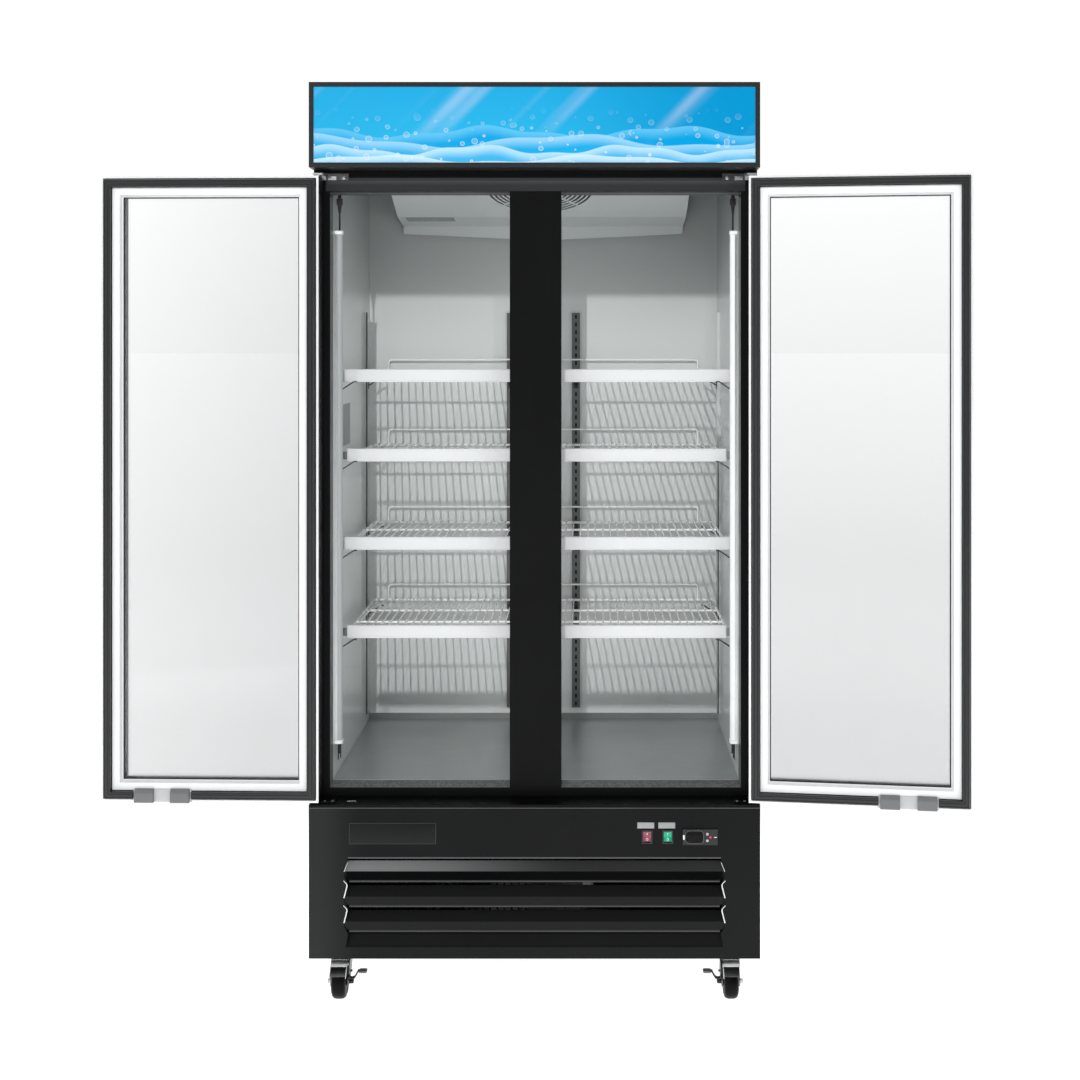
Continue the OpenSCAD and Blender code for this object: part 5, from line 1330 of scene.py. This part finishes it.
# %% Controller face
LENS_X = 367.0
lens_outline = [(-33, -9), (-26, -14), (7.4, -14), (7.4, 14), (-26, 14), (-33, 9)]
outer = soft_outline([(LENS_X + x, CONTROL_Z + z) for x, z in lens_outline], 8, 4)
lens = Shape().prism(outer, FRONT - 2.7, FRONT - 2.2, "y")
rim = Shape().tube([(x, FRONT - 3.1, z) for x, z in outer + outer[:1]], 0.55, 8)
face_marks = Shape()
for left, right, back, front, tall, edge in ((-38.2, -34.6, 3.2, 4.2, 5, 0.3),
                                             (30.5, 36, 3.4, 3.9, 0.9, 0.2)):
    face_marks.block((LENS_X + left, FRONT - front, CONTROL_Z - tall),
                     (LENS_X + right, FRONT - back, CONTROL_Z + tall), edge)
facing_out = Matrix.Translation((LENS_X + 22.4, FRONT - 3.4, CONTROL_Z)) @ turn_about("X", 90)
point = Shape().turned([(0, 1.3), (1.2, 1.1), (2.0, 0.5), (2.3, 0), (0, 0)], 24, facing_out)

lens_black = coat("lens_black", (0.006, 0.006, 0.007), (0.004, 0.004, 0.005), rough=0.12, peel=0.0, dust=0.0,
                  gloss=0.6)
rim_grey = coat("lens_rim", (0.16, 0.16, 0.165), (0.11, 0.11, 0.115), rough=0.35, peel=0.04, dust=0.0,
                gloss=0.5)
led_lens = lamp_plastic("led_point_red", (0.75, 0.02, 0.05), 1.2)
key_plastic = coat("key_plastic", (0.42, 0.43, 0.44), (0.36, 0.37, 0.38), rough=0.35, peel=0.04, dust=0.0,
                   gloss=0.5)
for name, shape, finish in (("display_lens", lens, lens_black), ("display_rim", rim, rim_grey),
                            ("controller_marks", face_marks, mark_paint), ("led_point", point, led_lens)):
    place_piece(name, shape, "cabinet", finish)
dress(key_plastic, "up_button", "down_button")
print("controller face placed")

# %% [markdown]
# Above the switches are two bare white labels, and at the left a black plate with a thin raised border, both
# blank.

# %% Labels and plate
PLATE_LOW, PLATE_HIGH = (-410.7, 362.0), (-218.0, 408.6)
labels = Shape()
for a, b in ((227.8, 265.2), (274.3, 311.5)):
    labels.block((a, FRONT - 0.4, 396.6), (b, FRONT + 0.05, 409.9), 0.15)
border_profile = [(0, FRONT + 0.05), (0, FRONT - 0.5), (1.3, FRONT - 0.5), (1.3, FRONT + 0.05)]
border = Shape().ring(soft_outline(border_profile, 0.2, 2), PLATE_LOW, PLATE_HIGH)
field = Shape().block((PLATE_LOW[0] + 1.2, FRONT - 0.25, PLATE_LOW[1] + 1.2),
                      (PLATE_HIGH[0] - 1.2, FRONT + 0.05, PLATE_HIGH[1] - 1.2), 0.1)
label_white = coat("label_white", (0.30, 0.31, 0.31), (0.27, 0.28, 0.28), rough=0.45, peel=0.03, dust=0.0)
border_grey = coat("border_grey", (0.034, 0.035, 0.036), (0.026, 0.027, 0.028), rough=0.35, peel=0.02,
                   dust=0.0)
plate_black = coat("plate_black", (0.0058, 0.0061, 0.0066), (0.0046, 0.0049, 0.0054), rough=0.4, peel=0.02,
                   dust=0.0, radius=0.0002, gloss=0.2)
place_piece("switch_labels", labels, "cabinet", label_white)
place_piece("nameplate_border", border, "cabinet", border_grey)
place_piece("nameplate", field, "cabinet", plate_black)
print("labels and nameplate placed")

# %% [markdown]
# ## Casters
# A caster wheel has a rubber tread with rounded shoulders on a black hub. We turn its section about the
# axle. The section is alike on both sides, so only one half is written down.

# %% Wheels
tread_rubber = coat("tread_rubber", (0.0022, 0.0022, 0.0024), (0.0032, 0.0032, 0.0034), rough=0.42, peel=0.15,
                    scale=1200.0, gloss=0.09, radius=0.0006, dust=0.0)
half_wheel = [(5.05, 17), (9, 17), (10, 15.8), (24, 15.6), (25.5, 16.6), (28, 16.4), (33.5, 14.2),
              (36.4, 10.5), (37.35, 6)]
wheel_profile = [(r, -h) for r, h in half_wheel] + [(37.5, 0)] + half_wheel[::-1]


def middle_of(node):
    low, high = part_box(node)
    return (low + high) / 2 / MM


for number, word in enumerate(("front_left", "front_right", "rear_left", "rear_right"), 1):
    body = word + "_wheel"
    wheel = Shape().turned(wheel_profile, 72, Matrix.Translation(middle_of(body)) @ turn_about("Y", 90))
    place_piece(body + "_tyre", wheel, body, tread_rubber, replaced=body, angle=40)
print("wheels turned")

# %% [markdown]
# Each front caster has a brake: a black crank beside the fork, bent like an S, with a grey tab that the foot
# treads on. The crank's plate has a hole for the axle's end.

# %% Brake pedals
crank_black = coat("crank_black", (0.012, 0.012, 0.0125), (0.008, 0.008, 0.0085), rough=0.3, peel=0.04,
                   dust=0.0, gloss=0.4)
tab_grey = coat("tab_grey", (0.12, 0.122, 0.125), (0.09, 0.092, 0.095), rough=0.34, peel=0.06, dust=0.0,
                gloss=0.5)
AXLE_Y, AXLE_Z, AXLE_HOLE = -296, 59.5, 3.4
arm_side = [(0.2, 62), (0.2, 53), (8, 50), (15, 52), (20, 60), (23, 66), (25, 66), (25, 69), (21, 69),
            (17.5, 61.5), (13.5, 55), (8, 53), (3, 55), (3, 62)]
hole = [(AXLE_Y + AXLE_HOLE * math.sin(a), AXLE_Z - AXLE_HOLE * math.cos(a)) for a in turns(24) + [math.tau]]
crank_plate = [(-296, 53.2), *hole, (-296.02, 53.2), (-312, 52.5), (-320, 53), (-322, 55.5), (-322, 66),
               (-319, 80), (-313, 88), (-306, 90), (-300, 88.5), (-292, 78), (-288, 66), (-287.5, 59),
               (-290, 54)]
tab_top = [(24, -325), (24, -307), (42, -307), (42, -325)]
for side, word in ((1, "left"), (-1, "right")):
    node = word + "_brake_pedal"
    low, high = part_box(node)
    start = (low.x if side > 0 else high.x) / MM
    arm = soft_outline([(start + side * d, z) for d, z in arm_side], 1.0)
    crank = Shape().prism(arm, -322, -311, "y", 0.3)
    crank.prism(crank_plate, *sorted((start + side * 0.2, start + side * 3)))
    tread = soft_outline([(start + side * d, y) for d, y in tab_top], 5, 4)
    tab = Shape().prism(tread, 65.6, 69.4, "z")
    for part, shape, finish in (("crank", crank, crank_black), ("tab", tab, tab_grey)):
        place_piece(f"{node}_{part}", shape, node, finish, replaced=node)
print("pedals placed")

# %% [markdown]
# A curved shoe over the wheel keeps it from sweeping dirt up, under a bright lip. The axle is a bolt with a
# domed head on one side and a nut on the other. All of them ride on the fork and swivel with it.

# %% Shoes and axles
lip_zinc = coat("lip_zinc", (0.78, 0.785, 0.79), (0.66, 0.665, 0.67), rough=0.25, peel=0.04, dust=0.0,
                gloss=0.8)
SHOE_HALF, LIP_HALF, AXLE_END = 16.4, 17.6, 20.8
domed_head = [(0, 10.6), (2.4, 10.4), (5.2, 9.4), (6.0, 7.6), (6.0, 0), (0, 0)]
nut = [(0, 0), (5.4, 0), (5.8, 0.5), (5.8, 4.6), (5.0, 5.2), (2.6, 5.2), (2.4, 6.6), (0, 6.8)]
cap_front = [(-19, 79), (19, 79), (20, 84), (16, 90), (-16, 90), (-20, 84)]


def wheel_strip(hub, radii, low_turn, high_turn, count=12):
    """A strip round the wheel between two angles. `radii` are its inside, its outside and its thinner tip."""
    shares = [k / count for k in range(count + 1)]
    angles = [math.radians(low_turn + (high_turn - low_turn) * share) for share in shares]
    inner, outer, tip = radii
    thick = [outer - (outer - tip) * share ** 3 for share in shares]
    above = [(hub.y - r * math.sin(a), hub.z + r * math.cos(a)) for r, a in zip(thick, angles)]
    below = [(hub.y - inner * math.sin(a), hub.z + inner * math.cos(a)) for a in reversed(angles)]
    return above + below


for side, word in ((1, "left"), (-1, "right")):
    fork = f"front_{word}_fork"
    hub = middle_of(f"front_{word}_wheel")
    shoe = Shape().prism(wheel_strip(hub, (40.4, 43.0, 41.2), -12, 50), hub.x - SHOE_HALF, hub.x + SHOE_HALF)
    shoe.prism(soft_outline([(hub.x + d, z) for d, z in cap_front], 3, 4), -305, -284, "y", 0.6)
    lip = Shape().prism(wheel_strip(hub, (43.0, 44.6, 43.4), 8, 26), hub.x - LIP_HALF, hub.x + LIP_HALF)
    for x in (-19, 17.4):
        lip.prism(wheel_strip(hub, (42.6, 44.6, 43.4), 8, 62), hub.x + x, hub.x + x + 1.6)
    lip.tube([(hub.x - 17, -305.6, 87.5), (hub.x, -306.2, 88.6), (hub.x + 17, -305.6, 87.5)], 0.6, 8)
    inner_end = Matrix.Translation((hub.x - side * AXLE_END, hub.y, hub.z)) @ turn_about("Y", -90 * side)
    outer_end = Matrix.Translation((hub.x + side * AXLE_END, hub.y, hub.z)) @ turn_about("Y", 90 * side)
    lip.turned(nut, 6, inner_end)
    bolt = Shape().turned(domed_head, 24, outer_end)
    for part, shape, finish in (("shoe", shoe, crank_black), ("lip", lip, lip_zinc),
                                ("bolt", bolt, crank_black)):
        place_piece(f"front_{word}_{part}", shape, fork, finish)
print("shoes and axles placed")
